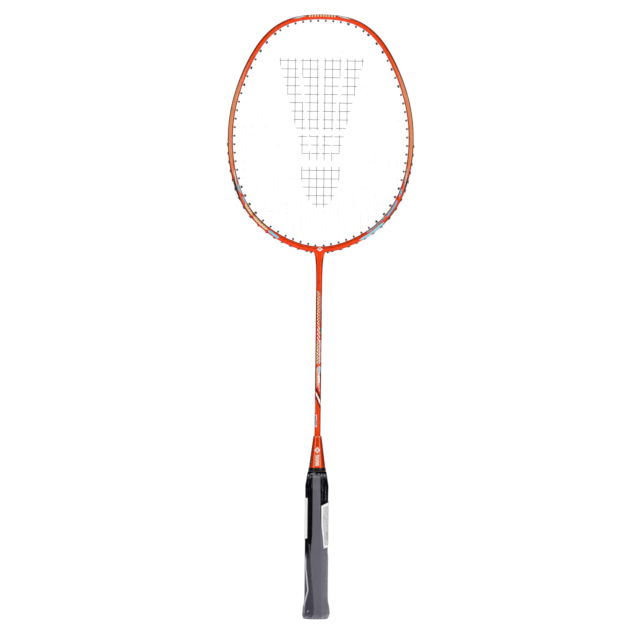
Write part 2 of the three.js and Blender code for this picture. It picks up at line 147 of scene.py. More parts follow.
def add_surface(
    name: str,
    rings: Array,
    joined_ends: bool = False,
    fields: dict[str, Array] | None = None,
    crease_degrees: float = 40.0,
) -> Piece:
    """Make a closed mesh from rings of points.

    Neighbouring rings are joined by quads. The first and last ring are joined to each other, or
    each is closed by a fan to its middle.

    Args:
        name: The object's name.
        rings: Points in millimetres, shaped rings by points round a ring by 3.
        joined_ends: Whether the last ring meets the first.
        fields: Values per point, shaped rings by points, kept as float attributes.
        crease_degrees: Edges sharper than this stay crisp.

    Returns:
        The new object, at the origin, with its faces outwards.
    """
    count, around = rings.shape[:2]
    points = rings.reshape(-1, 3) * MM
    values = {key: grid.reshape(-1) for key, grid in (fields or {}).items()}
    rows = np.arange(count if joined_ends else count - 1)
    i, j = np.meshgrid(rows, np.arange(around), indexing="ij")
    below, above = i * around, ((i + 1) % count) * around
    right = (j + 1) % around
    quads = np.stack([below + j, below + right, above + right, above + j], -1).reshape(-1, 4)
    fans = np.zeros((0, 3), int)
    if not joined_ends:
        ends = np.stack([rings[0].mean(0), rings[-1].mean(0)]) * MM
        base = len(points)
        points = np.vstack([points, ends])
        for key, value in values.items():
            values[key] = np.append(value, [value[:around].mean(), value[-around:].mean()])
        ring = np.arange(around)
        after = (ring + 1) % around
        last = (count - 1) * around
        low_fan = np.stack([after, ring, np.full(around, base)], -1)
        high_fan = np.stack([last + ring, last + after, np.full(around, base + 1)], -1)
        fans = np.vstack([low_fan, high_fan])
    triangles = np.vstack([quads[:, [0, 1, 2]], quads[:, [0, 2, 3]], fans])
    a, b, c = (points[triangles[:, n]] for n in range(3))
    if np.einsum("ij,ij->i", a, np.cross(b, c)).sum() < 0:
        quads, fans = quads[:, ::-1], fans[:, ::-1]
    mesh = bpy.data.meshes.new(name)
    mesh.from_pydata(points.tolist(), [], quads.tolist() + fans.tolist())
    mesh.polygons.foreach_set("use_smooth", np.ones(len(mesh.polygons), bool))
    mesh.set_sharp_from_angle(angle=math.radians(crease_degrees))
    for key, value in values.items():
        layer = mesh.attributes.new(key, "FLOAT", "POINT")
        layer.data.foreach_set("value", value.astype(np.float32))
    piece = bpy.data.objects.new(name, mesh)
    bpy.context.scene.collection.objects.link(piece)
    return piece


def merge(name: str, pieces: list[Piece]) -> Piece:
    """Join several closed meshes into one object.

    Args:
        name: The joined object's name.
        pieces: The objects, which are used up.

    Returns:
        The joined object.
    """
    bpy.ops.object.select_all(action="DESELECT")
    for piece in pieces:
        piece.select_set(True)
    bpy.context.view_layer.objects.active = pieces[0]
    bpy.ops.object.join()
    joined = bpy.context.view_layer.objects.active
    joined.name = name
    joined.data.name = name
    return joined


def octagon_reach(angle: Array) -> Array:
    """Reach of a soft-cornered octagon round a unit circle: a power mean over its eight facets."""
    facing = np.cos(angle[..., None] - np.arange(8) * np.pi / 4)
    return (np.clip(facing, 0, None) ** CORNER_POWER).sum(-1) ** (-1 / CORNER_POWER)


def revolve(profile: Array, sides: int, flats: float = 0.0, depth: float = 1.0) -> Array:
    """Carry a profile of (radius, height) round +Z.

    With flats above 0 the circle turns towards an octagon with rounded corners.

    Args:
        profile: Radius and height pairs.
        sides: Points round the axis.
        flats: 0 for a circle, 1 for a full octagon.
        depth: Share of the width that the section keeps through Y.

    Returns:
        Rings of points, profile by sides by 3.
    """
    angle = 2 * np.pi * (np.arange(sides) + 0.5) / sides
    reach = 1 + flats * (octagon_reach(angle) - 1)
    radius = profile[:, 0, None] * reach[None, :]
    x = radius * np.cos(angle)
    y = radius * np.sin(angle) * depth
    z = np.broadcast_to(profile[:, 1, None], x.shape)
    return np.stack([x, y, z], -1)


def fine_profile(corners: list[tuple[float, float]], step: float, soften: int = 0) -> Array:
    """Fill a profile's straight stretches with points and round its corners.

    Args:
        corners: Radius and height pairs in order.
        step: Longest gap between points.
        soften: How many times each inner point moves to the mean of its neighbours.

    Returns:
        The finer profile.
    """
    parts = []
    for (r0, z0), (r1, z1) in zip(corners[:-1], corners[1:]):
        pieces = max(1, round(math.hypot(r1 - r0, z1 - z0) / step))
        share = np.arange(pieces) / pieces
        parts.append(np.stack([r0 + (r1 - r0) * share, z0 + (z1 - z0) * share], -1))
    profile = np.vstack([*parts, [corners[-1]]])
    for _ in range(soften):
        profile[1:-1] = (profile[:-2] + 2 * profile[1:-1] + profile[2:]) / 4
    return profile


def tube(path: Array, radius: float, sides: int) -> Array:
    """Carry a circle along a path.

    At each point the circle lies square to the direction between its neighbours, with one diameter
    square to both that direction and Y.

    Args:
        path: Points shaped n by 3.
        radius: The circle's radius.
        sides: Points round the circle.

    Returns:
        Rings of points, n by sides by 3.
    """
    ahead = np.gradient(path, axis=0)
    ahead /= np.linalg.norm(ahead, axis=1, keepdims=True)
    across = np.cross(ahead, [0.0, 1.0, 0.0])
    across /= np.linalg.norm(across, axis=1, keepdims=True)
    through = np.cross(across, ahead)
    angle = 2 * np.pi * np.arange(sides) / sides
    ring = across[:, None] * np.cos(angle)[:, None] + through[:, None] * np.sin(angle)[:, None]
    return path[:, None] + radius * ring


# ---- Shader helpers ------------------------------------------------------------------------


class Field:
    """A number worked out at each point of a surface; each operator adds one Math node."""

    def __init__(self, tree: bpy.types.NodeTree, socket: bpy.types.NodeSocket) -> None:
        """Wrap a socket of a node tree."""
        self.tree = tree
        self.socket = socket

    def op(self, kind: str, *others: Field | float, clamp: bool = False) -> Field:
        """Add a Math node of a kind with this value first.

        Args:
            kind: The Math node's operation.
            others: Its other inputs.
            clamp: Whether the result is kept from 0 to 1.

        Returns:
            The node's result.
        """
        node = self.tree.nodes.new("ShaderNodeMath")
        node.operation = kind
        node.use_clamp = clamp
        self.tree.links.new(self.socket, node.inputs[0])
        for index, other in enumerate(others, start=1):
            if isinstance(other, Field):
                self.tree.links.new(other.socket, node.inputs[index])
            else:
                node.inputs[index].default_value = other
        return Field(self.tree, node.outputs[0])

    def __add__(self, other: Field | float) -> Field:
        """Sum."""
        return self.op("ADD", other)

    def __sub__(self, other: Field | float) -> Field:
        """Difference."""
        return self.op("SUBTRACT", other)

    def __mul__(self, other: Field | float) -> Field:
        """Product."""
        return self.op("MULTIPLY", other)

    def __neg__(self) -> Field:
        """Opposite."""
        return self * -1.0

    def low(self, other: Field | float) -> Field:
        """The smaller of two values."""
        return self.op("MINIMUM", other)

    def high(self, other: Field | float) -> Field:
        """The larger of two values."""
        return self.op("MAXIMUM", other)

    def size(self) -> Field:
        """The value without its sign."""
        return self.op("ABSOLUTE", 0.0)

    def above(self, limit: float, soft: float) -> Field:
        """0 below limit, rising to 1 over a soft width."""
        return ((self - limit) * (1 / soft)).op("ADD", 0.0, clamp=True)

    def below(self, limit: float, soft: float) -> Field:
        """1 below limit, falling to 0 over a soft width."""
        return ((-self + limit) * (1 / soft)).op("ADD", 0.0, clamp=True)

    def zigzag(self, period: float) -> Field:
        """A triangle wave from 0 to 1 and back over each period."""
        return self.op("PINGPONG", period / 2) * (2 / period)

    def saw(self, period: float) -> Field:
        """A ramp from 0 to 1 over each period."""
        return (self * (1 / period)).op("FRACT")


class Shade:
    """A material under construction: one Principled shader and helpers that feed it."""

    def __init__(self, name: str) -> None:
        """Start an empty node material.

        Args:
            name: The material's name.
        """
        self.material = bpy.data.materials.new(name)
        self.material.use_nodes = True
        self.tree = self.material.node_tree
        self.shader = self.tree.nodes["Principled BSDF"]

    def node(self, kind: str, **settings: str) -> bpy.types.Node:
        """Add a node and set its properties.

        Args:
            kind: The node's type.
            settings: Its properties.

        Returns:
            The node.
        """
        made = self.tree.nodes.new(kind)
        for key, value in settings.items():
            setattr(made, key, value)
        return made

    def place(self) -> tuple[Field, Field, Field]:
        """The point's place in millimetres, in the racket's frame.

        Returns:
            X, Y and Z.
        """
        coordinates = self.node("ShaderNodeTexCoord")
        split = self.node("ShaderNodeSeparateXYZ")
        self.tree.links.new(coordinates.outputs["Object"], split.inputs[0])
        x, y, z = (Field(self.tree, split.outputs[n]) * 1000.0 for n in range(3))
        return x, y, z

    def kept(self, name: str) -> Field:
        """A float attribute of the mesh."""
        attribute = self.node("ShaderNodeAttribute", attribute_name=name)
        return Field(self.tree, attribute.outputs["Fac"])

    def noise(self, scale: float, detail: float = 2.0, stretch: Stretch = (1, 1, 1)) -> Field:
        """Noise on Object coordinates.

        Args:
            scale: Noise cells per metre.
            detail: Octaves.
            stretch: Extra scale along X, Y and Z.

        Returns:
            The noise, about 0 to 1.
        """
        coordinates = self.node("ShaderNodeTexCoord")
        mapping = self.node("ShaderNodeMapping")
        mapping.inputs["Scale"].default_value = stretch
        texture = self.node("ShaderNodeTexNoise")
        texture.inputs["Scale"].default_value = scale
        texture.inputs["Detail"].default_value = detail
        self.tree.links.new(coordinates.outputs["Object"], mapping.inputs[0])
        self.tree.links.new(mapping.outputs[0], texture.inputs["Vector"])
        return Field(self.tree, texture.outputs["Fac"])

    def layered(self, base: Colour, layers: list[tuple[Field, Colour]]) -> bpy.types.NodeSocket:
        """Lay colours over a base, each where its mask is 1.

        Args:
            base: The lowest colour.
            layers: Masks and colours, lowest first.

        Returns:
            The colour socket.
        """
        under = None
        for mask, colour in layers:
            mix = self.node("ShaderNodeMix", data_type="RGBA")
            self.tree.links.new(mask.socket, mix.inputs[0])
            if under is None:
                mix.inputs[6].default_value = (*base, 1.0)
            else:
                self.tree.links.new(under, mix.inputs[6])
            mix.inputs[7].default_value = (*colour, 1.0)
            under = mix.outputs[2]
        return under

    def colour(self, base: Colour, layers: list[tuple[Field, Colour]]) -> None:
        """Feed the shader's base colour from layers."""
        self.tree.links.new(self.layered(base, layers), self.shader.inputs["Base Color"])

    def roughness(self, value: Field) -> None:
        """Feed the shader's roughness."""
        self.tree.links.new(value.socket, self.shader.inputs["Roughness"])

    def bump(self, height: Field, depth: float) -> None:
        """Raise the surface by a height field.

        Args:
            height: The field.
            depth: The height in metres that 1 stands for.
        """
        bump = self.node("ShaderNodeBump")
        bump.inputs["Strength"].default_value = 1.0
        bump.inputs["Distance"].default_value = depth
        self.tree.links.new(height.socket, bump.inputs["Height"])
        self.tree.links.new(bump.outputs[0], self.shader.inputs["Normal"])

    def set(self, **values: float | Colour) -> None:
        """Set the shader's plain inputs.

        Args:
            values: Inputs by name, with an underscore for each space.
        """
        for key, value in values.items():
            socket = self.shader.inputs[key.replace("_", " ")]
            socket.default_value = (*value, 1.0) if isinstance(value, tuple) else value


class Ink(Enum):
    """Printed colours on the paint. The two darkest reds are also laid as painted shade along the
    edges of the hoop and shaft; the deepest is used for nothing else.
    """

    WHITE = srgb(244, 244, 238)
    CREAM = srgb(250, 230, 180)
    COPPER = srgb(228, 156, 106)
    CYAN = srgb(110, 216, 236)
    SKY = srgb(158, 210, 230)
    ROSE = srgb(224, 108, 88)
    STEEL = srgb(160, 154, 158)
    BROWN = srgb(120, 62, 48)
    SILVER = srgb(196, 204, 210)
    PINK = srgb(232, 130, 120)
    BLACK = srgb(24, 20, 24)
    DARK_RED = srgb(128, 12, 4)
    # Painted shade only: darkens the hoop's outer side and the shaft's edges.
    PAINTED_SHADE_RED = srgb(112, 6, 0)
    MAROON = srgb(96, 30, 44)
    GREEN = srgb(60, 140, 100)


@dataclass(frozen=True)
class Band:
    """A printed stripe with tapered ends on a surface with an along and an across value."""

    start: float
    end: float
    from_across: float
    to_across: float
    half: float
    ink: Ink
    taper: float = 0.15
    soft: float = 0.06

    def mask(self, along: Field, across: Field) -> Field:
        """Build the stripe's mask.

        Args:
            along: Where the point is along the stripe's way.
            across: Where it is across it.

        Returns:
            1 on the stripe, 0 off it.
        """
        share = (along - self.start) * (1 / (self.end - self.start))
        middle = share * (self.to_across - self.from_across) + self.from_across
        taper = share.low(-share + 1.0) * (1 / self.taper)
        half = taper.low(1.0) * self.half
        return ((half - (across - middle).size()) * (1 / self.soft)).op("ADD", 0.0, clamp=True)


# Printed bands low on the hoop: upper and lower height, where across the face they start and end
# (-1 is the inner edge and 1 the outer one), half their width there, ink and taper.
HoopBand = tuple[float, float, float, float, float, Ink, float]
LEFT_BANDS: tuple[HoopBand, ...] = (
    (486, 460, -0.3, 0.2, 0.3, Ink.ROSE, 0.3),
    (506, 472, -0.8, 0.3, 0.42, Ink.STEEL, 0.4),
    (502, 478, -0.52, 0.1, 0.22, Ink.CREAM, 0.4),
    (496, 462, 0.1, 0.86, 0.3, Ink.BLACK, 0.3),
    (482, 452, 0.84, 0.94, 0.26, Ink.BLACK, 0.2),
    (485, 471, -0.66, -0.5, 0.36, Ink.SKY, 0.4),
    (469, 459.5, -0.6, -0.5, 0.36, Ink.SKY, 0.12),
    (460, 430, -0.72, -0.6, 0.16, Ink.BROWN, 0.1),
    (461, 447.5, -0.2, -0.1, 0.46, Ink.CREAM, 0.12),
    (447, 431, -0.02, 0.0, 0.44, Ink.CREAM, 0.12),
    (449.5, 445.5, -0.6, 0.5, 0.1, Ink.BLACK, 0.2),
    (461, 430, 0.5, 0.56, 0.1, Ink.BROWN, 0.1),
    (431, 422.5, 0.0, 0.3, 0.4, Ink.CYAN, 0.12),
)
RIGHT_BANDS: tuple[HoopBand, ...] = (
    (508, 478, -0.7, 0.3, 0.42, Ink.STEEL, 0.4),
    (503, 482, -0.4, 0.15, 0.22, Ink.CREAM, 0.4),
    (496, 472, 0.3, 0.9, 0.26, Ink.BLACK, 0.35),
    (490, 470, -0.86, -0.8, 0.12, Ink.BROWN, 0.3),
    (481, 469.5, -0.42, -0.1, 0.34, Ink.CYAN, 0.35),
    (467, 447, -0.3, -0.2, 0.36, Ink.CYAN, 0.1),
    (467, 447, 0.18, 0.26, 0.08, Ink.BROWN, 0.1),
    (463, 437, 0.86, 0.9, 0.28, Ink.BLACK, 0.3),
    (449, 427, -0.56, -0.4, 0.4, Ink.SILVER, 0.2),
    (448, 428, -0.78, -0.7, 0.1, Ink.BLACK, 0.2),
    (447, 429, -0.3, -0.2, 0.1, Ink.BLACK, 0.2),
    (443, 431, 0.08, 0.14, 0.14, Ink.ROSE, 0.3),
    (443, 421.5, 0.5, 0.55, 0.34, Ink.CYAN, 0.12),
)


# ---- Finishes ------------------------------------------------------------------------------


@dataclass(frozen=True)
class OrangeLacquer:
    """Glossy orange lacquer with fine flake, under a clear coat."""

    name: str = "orange_lacquer"
    base: Colour = srgb(244, 62, 0)
    deep: Colour = srgb(214, 34, 0)
    spark: Colour = srgb(255, 92, 24)
    metallic: float = 0.5
    flake_scale: float = 5200.0

    def shade(self) -> Shade:
        """Build the bare lacquer.

        Returns:
            The material under construction, with no colour yet.
        """
        shade = Shade(self.name)
        shade.set(Metallic=self.metallic, Specular_IOR_Level=0.0)
        shade.set(Coat_Weight=0.22, Coat_Roughness=0.04)
        flake = shade.noise(self.flake_scale, 2)
        wear = shade.noise(90, 4)
        shade.roughness(flake * 0.1 + wear * 0.12 + 0.2)
        shade.bump(shade.noise(900, 3) * 0.6 + flake * 0.4, 0.00001)
        return shade

    def tones(self, shade: Shade) -> list[tuple[Field, Colour]]:
        """Give the slow and fine changes of tone in the lacquer.

        Args:
            shade: The material under construction.

        Returns:
            Masks and colours, lowest first.
        """
        slow = shade.noise(60, 3).above(0.45, 0.3) * 0.35
        flake = shade.noise(self.flake_scale, 2).above(0.58, 0.12) * 0.25
        return [(slow, self.deep), (flake, self.spark)]


@dataclass(frozen=True)
class HoopLacquer(OrangeLacquer):
    """The lacquer of the hoop, with its copper stripes and printed bands, painted shade along its
    edges and a painted highlight down its face.
    """

    name: str = "hoop_lacquer"

    def material(self, at_height: Reader, at_side: Reader) -> Material:
        """Build the material.

        Args:
            at_height: Turns a height on the hoop into a distance along it from the crown.
            at_side: Does the same for a sideways place near the crown.

        Returns:
            The material.
        """
        shade = self.shade()
        x, y, z = shade.place()
        along, across = shade.kept("along"), shade.kept("across")
        h, s = at_height, at_side
        left, right = x.below(0, 0.5), x.above(0, 0.5)
        facing = y.size().above(1.2, 0.8)

        def printed(band: Band) -> Field:
            """A band's mask on the hoop's two faces."""
            return band.mask(along, across) * facing

        layers = self.tones(shade)
        upper = along.below(h(442), 12)
        # Painted shade: the outer side of the face darkens to deep red, more so above the lower
        # bands, and the inner edge to dark red.
        layers += [(across.above(0.36, 0.5) * (upper * 0.55 + 0.4), Ink.PAINTED_SHADE_RED.value)]
        layers += [((-across).above(0.72, 0.3) * 0.5, Ink.DARK_RED.value)]
        # Painted highlight: a brighter orange band down the face, a little inside its middle, above
        # the lower bands.
        layers += [((across + 0.12).size().below(0.3, 0.25) * upper * 0.5, srgb(255, 88, 26))]
        copper = Band(h(640), h(466), 0.02, 0.02, 0.72, Ink.COPPER, taper=0.3, soft=0.3)
        layers += [(printed(copper) * 0.9, copper.ink.value)]
        dashes = x.saw(3.1).above(0.25, 0.05) * x.saw(3.1).below(0.9, 0.05)
        dashes = dashes * x.size().below(15.4, 0.2) * across.above(-0.1, 0.1)
        layers += [(dashes * facing * along.below(40, 1), Ink.CREAM.value)]
        crown = (
            Band(s(16), s(34), 0.6, 0.3, 0.42, Ink.STEEL, taper=0.4),
            Band(s(16.5), s(32.5), 0.66, 0.34, 0.27, Ink.WHITE, taper=0.3),
        )
        layers += [(printed(band), band.ink.value) for band in crown]
        for side, rows in ((left, LEFT_BANDS), (right, RIGHT_BANDS)):
            bands = [Band(h(high), h(low), *rest) for high, low, *rest in rows]
            layers += [(printed(band) * side, band.ink.value) for band in bands]
        hatch = (along + across * 2.2).saw(3.3)
        block = Band(h(460.5), h(431.5), -0.12, -0.1, 0.46, Ink.COPPER, taper=0.1)
        cover = printed(block) * left * 0.8
        layers += [(cover * hatch.above(0.5, 0.08) * hatch.below(0.86, 0.08), block.ink.value)]
        layers += [(cover * hatch.above(0.9, 0.04), Ink.BROWN.value)]
        diamond = (x - 0.5).size() + (z - 412.6).size() * 1.5
        mark = diamond.below(3.5, 0.25) * diamond.above(1.3, 0.25) * along.above(300, 1)
        layers += [(mark * facing, Ink.WHITE.value)]
        shade.colour(self.base, layers)
        return shade.material


@dataclass(frozen=True)
class ShaftLacquer(OrangeLacquer):
    """The lacquer of the shaft and throat, with its printed bands and slashes, and painted shade
    down its sides.
    """

    name: str = "shaft_lacquer"
    bands: tuple[Band, ...] = (
        Band(364, 330, 2.5, 2.5, 0.65, Ink.STEEL),
        Band(346, 310, 2.9, 2.9, 0.6, Ink.BLACK, 0.1),
        Band(366, 326, -2.9, -2.9, 0.6, Ink.DARK_RED),
        Band(326, 318, 1.6, 2.4, 0.6, Ink.GREEN),
        Band(312, 284, 1.7, 1.5, 0.7, Ink.SILVER, 0.1),
        Band(308, 286, 3.0, 3.0, 0.5, Ink.ROSE, 0.1),
        Band(283, 272, 1.0, 1.2, 1.6, Ink.SILVER, 0.2),
        Band(282, 275, 2.5, 2.5, 0.7, Ink.SKY, 0.2),
        Band(274, 256, 0.5, 1.3, 1.0, Ink.WHITE, 0.15),
        Band(264, 253, 1.5, 1.8, 1.0, Ink.PINK, 0.2),
        Band(277, 254, 2.9, 2.9, 0.6, Ink.MAROON, 0.1),
        Band(283, 256, -2.8, -2.8, 0.7, Ink.BROWN, 0.1),
        Band(282, 258, -1.2, -1.0, 0.35, Ink.CREAM, 0.1),
        Band(258.6, 244, -2.8, 3.8, 1.0, Ink.BLACK, 0.12),
        Band(253.6, 238, -2.7, 3.8, 0.85, Ink.WHITE, 0.12),
        Band(249, 233, -2.6, 3.6, 0.65, Ink.BLACK, 0.12),
        Band(245, 229, -3.1, -3.0, 0.5, Ink.SILVER, 0.1),
        Band(228.5, 213.5, -2.0, -1.8, 1.15, Ink.SILVER, 0.04),
        Band(227, 216, -2.9, -2.9, 0.5, Ink.MAROON, 0.1),
        Band(222, 216, -1.2, -1.2, 0.25, Ink.MAROON, 0.1),
    )

    def material(self) -> Material:
        """Build the material.

        Returns:
            The material.
        """
        shade = self.shade()
        x, _, z = shade.place()
        layers = self.tones(shade)
        printed = z.above(255, 1) * z.below(366, 1)
        # Painted shade: more than 2.5 mm to either side of the middle, below 404 mm, the lacquer
        # darkens to deep red.
        layers += [(x.size().above(2.5, 1.0) * z.below(404, 4) * 0.8, Ink.PAINTED_SHADE_RED.value)]
        layers += [(x.below(-1.9, 0.8) * printed * 0.6, Ink.BROWN.value)]
        layers += [(one.mask(z, x), one.ink.value) for one in self.bands]
        for low, high, middle in ((327, 366, -0.5), (284, 309, -0.8)):
            column = (x - middle).size().below(1.25, 0.2) * z.above(low, 0.5) * z.below(high, 0.5)
            turned = z.saw(15).above(0.5, 0.02)
            rising, falling = (z + x * 1.3).saw(3.4), (z - x * 1.3).saw(3.4)
            marks = rising.above(0.38, 0.08) * turned + falling.above(0.38, 0.08) * (-turned + 1.0)
            layers += [(column * 0.85, Ink.DARK_RED.value), (column * marks, Ink.CREAM.value)]
        slash = (z + x * 1.7).saw(4.6).above(0.5, 0.1) * x.above(-1.6, 0.3) * x.below(1.5, 0.3)
        layers += [(slash * z.above(309, 0.4) * z.below(327, 0.4), Ink.WHITE.value)]
        shade.colour(self.base, layers)
        return shade.material


@dataclass(frozen=True)
class ConeLacquer(OrangeLacquer):
    """The lacquer of the cone, with a column of plain printed blocks, painted highlights and
    painted shade towards its sides.
    """

    name: str = "cone_lacquer"

    def material(self) -> Material:
        """Build the material.

        Returns:
            The material.
        """
        shade = self.shade()
        x, _, z = shade.place()
        layers = self.tones(shade)
        radius = (-z + 204.2).low(35.0) * 0.134 + 4.7
        share = x.op("DIVIDE", radius)
        painted_side_shade = share.size().above(0.55, 0.4)
        # Painted highlight: two light orange stripes down the cone, either side of its middle.
        stripe = (share.size() - 0.42).size().below(0.14, 0.08)
        diamond = x.size() * 1.3 + (z - 188.4).size()
        block = x.size().below(2.1, 0.15) * z.above(170.8, 0.2) * z.below(183.4, 0.2)
        cut = (z + x * 0.8).saw(3.3).above(0.16, 0.05)
        layers += [(stripe * 0.75, srgb(236, 118, 66))]
        mark = diamond.below(4.0, 0.2) * diamond.above(1.2, 0.2)
        layers += [(mark.high(block * cut), Ink.WHITE.value)]
        # Painted shade: the cone darkens to deep red towards its sides.
        layers += [(painted_side_shade * 0.9, srgb(164, 18, 0))]
        decal = (x + 7.6).size().below(0.9, 0.1) * z.above(172, 0.3) * z.below(186, 0.3)
        tick = z.saw(3.4)
        layers += [(decal * tick.above(0.3, 0.05), Ink.GREEN.value)]
        layers += [(decal * tick.above(0.75, 0.05), Ink.BLACK.value)]
        # Painted highlight: broken cream glints along the cone's top rim.
        rim = z.above(202.6, 0.3) * (x * 1.1 + z).zigzag(1.9).above(0.6, 0.2)
        layers += [(rim * 0.8, Ink.CREAM.value)]
        shade.colour(self.base, layers)
        return shade.material


@dataclass(frozen=True)
class StringFinish:
    """White twisted multifilament with a dark stencilled shuttlecock."""

    name: str = "white_string"
    white: Colour = srgb(254, 254, 252)
    ink: Colour = srgb(96, 66, 80)
    foot: float = 512.0
    brim: float = 626.0

    def stencil(self, x: Field, z: Field) -> Field:
        """The stencil's mask: a flared skirt in four feathers over a round cork.

        Args:
            x: The point's X in millimetres.
            z: Its Z.

        Returns:
            1 inside the stencil, 0 outside it.
        """
        half = (z - self.foot) * (29.0 / (self.brim - self.foot)) + 19.0
        skirt = (half - x.size()).above(0, 0.2) * z.above(self.foot, 0.2) * z.below(self.brim, 0.2)
        slant = (x * 19.0).op("DIVIDE", half).size()
        gap = slant.above(1.2, 0.2) * slant.below(9.3, 0.2).high(slant.above(11.0, 0.2))
        ring = (z - 543).size().above(2.4, 0.2)
        cork_x, cork_z = x * (1 / 22), (z - 503) * (1 / 44)
        cork = (cork_x * cork_x + cork_z * cork_z).below(1.0, 0.03) * z.below(505, 0.2)
        return (skirt * gap * ring).high(cork)

    def material(self) -> Material:
        """Build the material.

        Returns:
            The material.
        """
        shade = Shade(self.name)
        x, _, z = shade.place()
        shade.set(Specular_IOR_Level=0.4, Coat_Weight=0.1, Coat_Roughness=0.2)
        shade.set(Transmission_Weight=0.75, IOR=1.2)
        twist = shade.kept("twist")
        rub = shade.noise(1400, 3).above(0.34, 0.1)
        lay = twist.zigzag(1.0).above(0.6, 0.4) * 0.35
        stencil = self.stencil(x, z) * rub * 0.92
        shade.colour(self.white, [(lay, srgb(222, 222, 220)), (stencil, self.ink)])
        shade.roughness(shade.noise(2500, 2) * 0.2 + 0.3)
        shade.bump(twist.zigzag(1.0), 0.00003)
        return shade.material


@dataclass(frozen=True)
class Moulding:
    """Moulded plastic with fine scuffs."""

    name: str
    body: Colour
    worn: Colour
    rough: float
    coat: float = 0.0
    sheen: float = 0.25

    def material(self) -> Material:
        """Build the material.

        Returns:
            The material.
        """
        shade = Shade(self.name)
        shade.set(Coat_Weight=self.coat, Coat_Roughness=0.12, Specular_IOR_Level=self.sheen)
        scuff = shade.noise(1700, 5)
        cloud = shade.noise(260, 3)
        worn = (cloud.above(0.42, 0.3) * 0.4, scuff.above(0.64, 0.08) * 0.6)
        shade.colour(self.body, [(mask, self.worn) for mask in worn])
        shade.roughness(cloud * 0.22 + scuff * 0.16 + (self.rough - 0.19))
        shade.bump(scuff, 0.00002)
        return shade.material


@dataclass(frozen=True)
class GrommetMoulding:
    """Grommet plastic: dark at the tip, paled in the thin neck by a painted highlight of glare, and
    toned in the flange or band.

    The mesh says how far out a point is from the hoop's outer edge ("out") and how far it is past
    the inner edge ("past").
    """

    name: str
    body: Colour
    flange: Colour

    def material(self) -> Material:
        """Build the material.

        Returns:
            The material.
        """
        shade = Shade(self.name)
        out, past = shade.kept("out"), shade.kept("past")
        scuff = shade.noise(1700, 5)
        neck = past.above(-0.6, 0.3) * past.below(1.05, 0.35)
        layers = [(out.above(-1.2, 1.2), self.flange)]
        layers += [(scuff.above(0.62, 0.1) * 0.35, srgb(60, 64, 64))]
        # Painted highlight: the neck just inside the hoop's inner edge is paled almost to white.
        layers += [(neck * 0.85, srgb(236, 234, 230))]
        shade.colour(self.body, layers)
        shade.set(Specular_IOR_Level=0.25)
        shade.roughness(scuff * 0.2 + 0.25)
        shade.bump(scuff, 0.00002)
        return shade.material


@dataclass(frozen=True)
class GripFinish:
    """Embossed polyurethane grip wrap: fine leathery pores and a smooth overlap."""

    name: str = "grip_wrap"
    body: Colour = srgb(3, 2, 7)
    raised: Colour = srgb(11, 10, 17)
    painted_reflection: Colour = srgb(112, 111, 118)

    def material(self) -> Material:
        """Build the material.

        The film lies flat on the front and back facets and, below the label, on the right one too;
        there they are paled grey as a painted reflection of the lights in the film, with a painted
        highlight along the facet corner, a dimmer grey left of the overlap and a paler grey low on
        the far left. Low on the left the wrap's overlap is a slanting dark line.

        Returns:
            The material.
        """
        shade = Shade(self.name)
        cells = shade.node("ShaderNodeTexVoronoi", feature="DISTANCE_TO_EDGE")
        cells.inputs["Scale"].default_value = 1100
        coordinates = shade.node("ShaderNodeTexCoord")
        shade.tree.links.new(coordinates.outputs["Object"], cells.inputs["Vector"])
        pore = Field(shade.tree, cells.outputs["Distance"]).above(0.03, 0.12)
        grain = shade.noise(3200, 4)
        cloud = shade.noise(45, 3)
        x, _, z = shade.place()
        overlap = (z * -0.0757 - 1.1).high((z * 0.0826 - 12.5).low(-4.65))
        corner = z * -0.02 + 6.75
        facet = (x - overlap).above(0, 0.3) * (corner - x).above(0, 0.3)
        low = z.below(80.5, 1.5).high((x * 8.0 + z).below(148, 3))
        right = (x - corner).above(-0.3, 0.3) * low
        left = (overlap - x).above(0, 0.3) * z.below(76, 12)
        line = (x - overlap).size().below(0.32, 0.2) * z.below(66, 6)
        thin_line = (x - 6.2).size().below(0.3, 0.3) * z.above(130, 3) * z.below(158, 3)
        seen = z.below(162, 3)
        layers = [
            (pore * 0.5, self.raised),
            # Painted reflection: a dim grey left of the overlap.
            (left, srgb(72, 70, 84)),
            # Painted reflection of the lights in the film: grey on the front and back facets, a
            # little darker low down, and grey on the right facet low down.
            (facet * seen, self.painted_reflection),
            (facet * low * 0.7, srgb(103, 101, 113)),
            (right * 0.96, srgb(119, 117, 130)),
            # Painted highlight along the facet corner.
            ((x - corner).size().below(0.25, 0.3) * seen * 0.5, srgb(130, 128, 138)),
            # Painted reflection: a paler grey low on the far left.
            (x.below(-11.6, 0.6) * z.below(58, 8) * z.above(4, 3) * 0.8, srgb(152, 150, 162)),
            (thin_line * 0.6, srgb(92, 91, 100)),
            (line * 0.85, srgb(34, 32, 40)),
            (cloud.above(0.5, 0.25) * 0.12, srgb(24, 22, 28)),
        ]
        shade.colour(self.body, layers)
        shade.set(Specular_IOR_Level=0.01)
        shade.roughness(grain * 0.2 + cloud * 0.15 + 0.42)
        shade.bump(pore * 0.7 + grain * 0.3, 0.00005)
        return shade.material


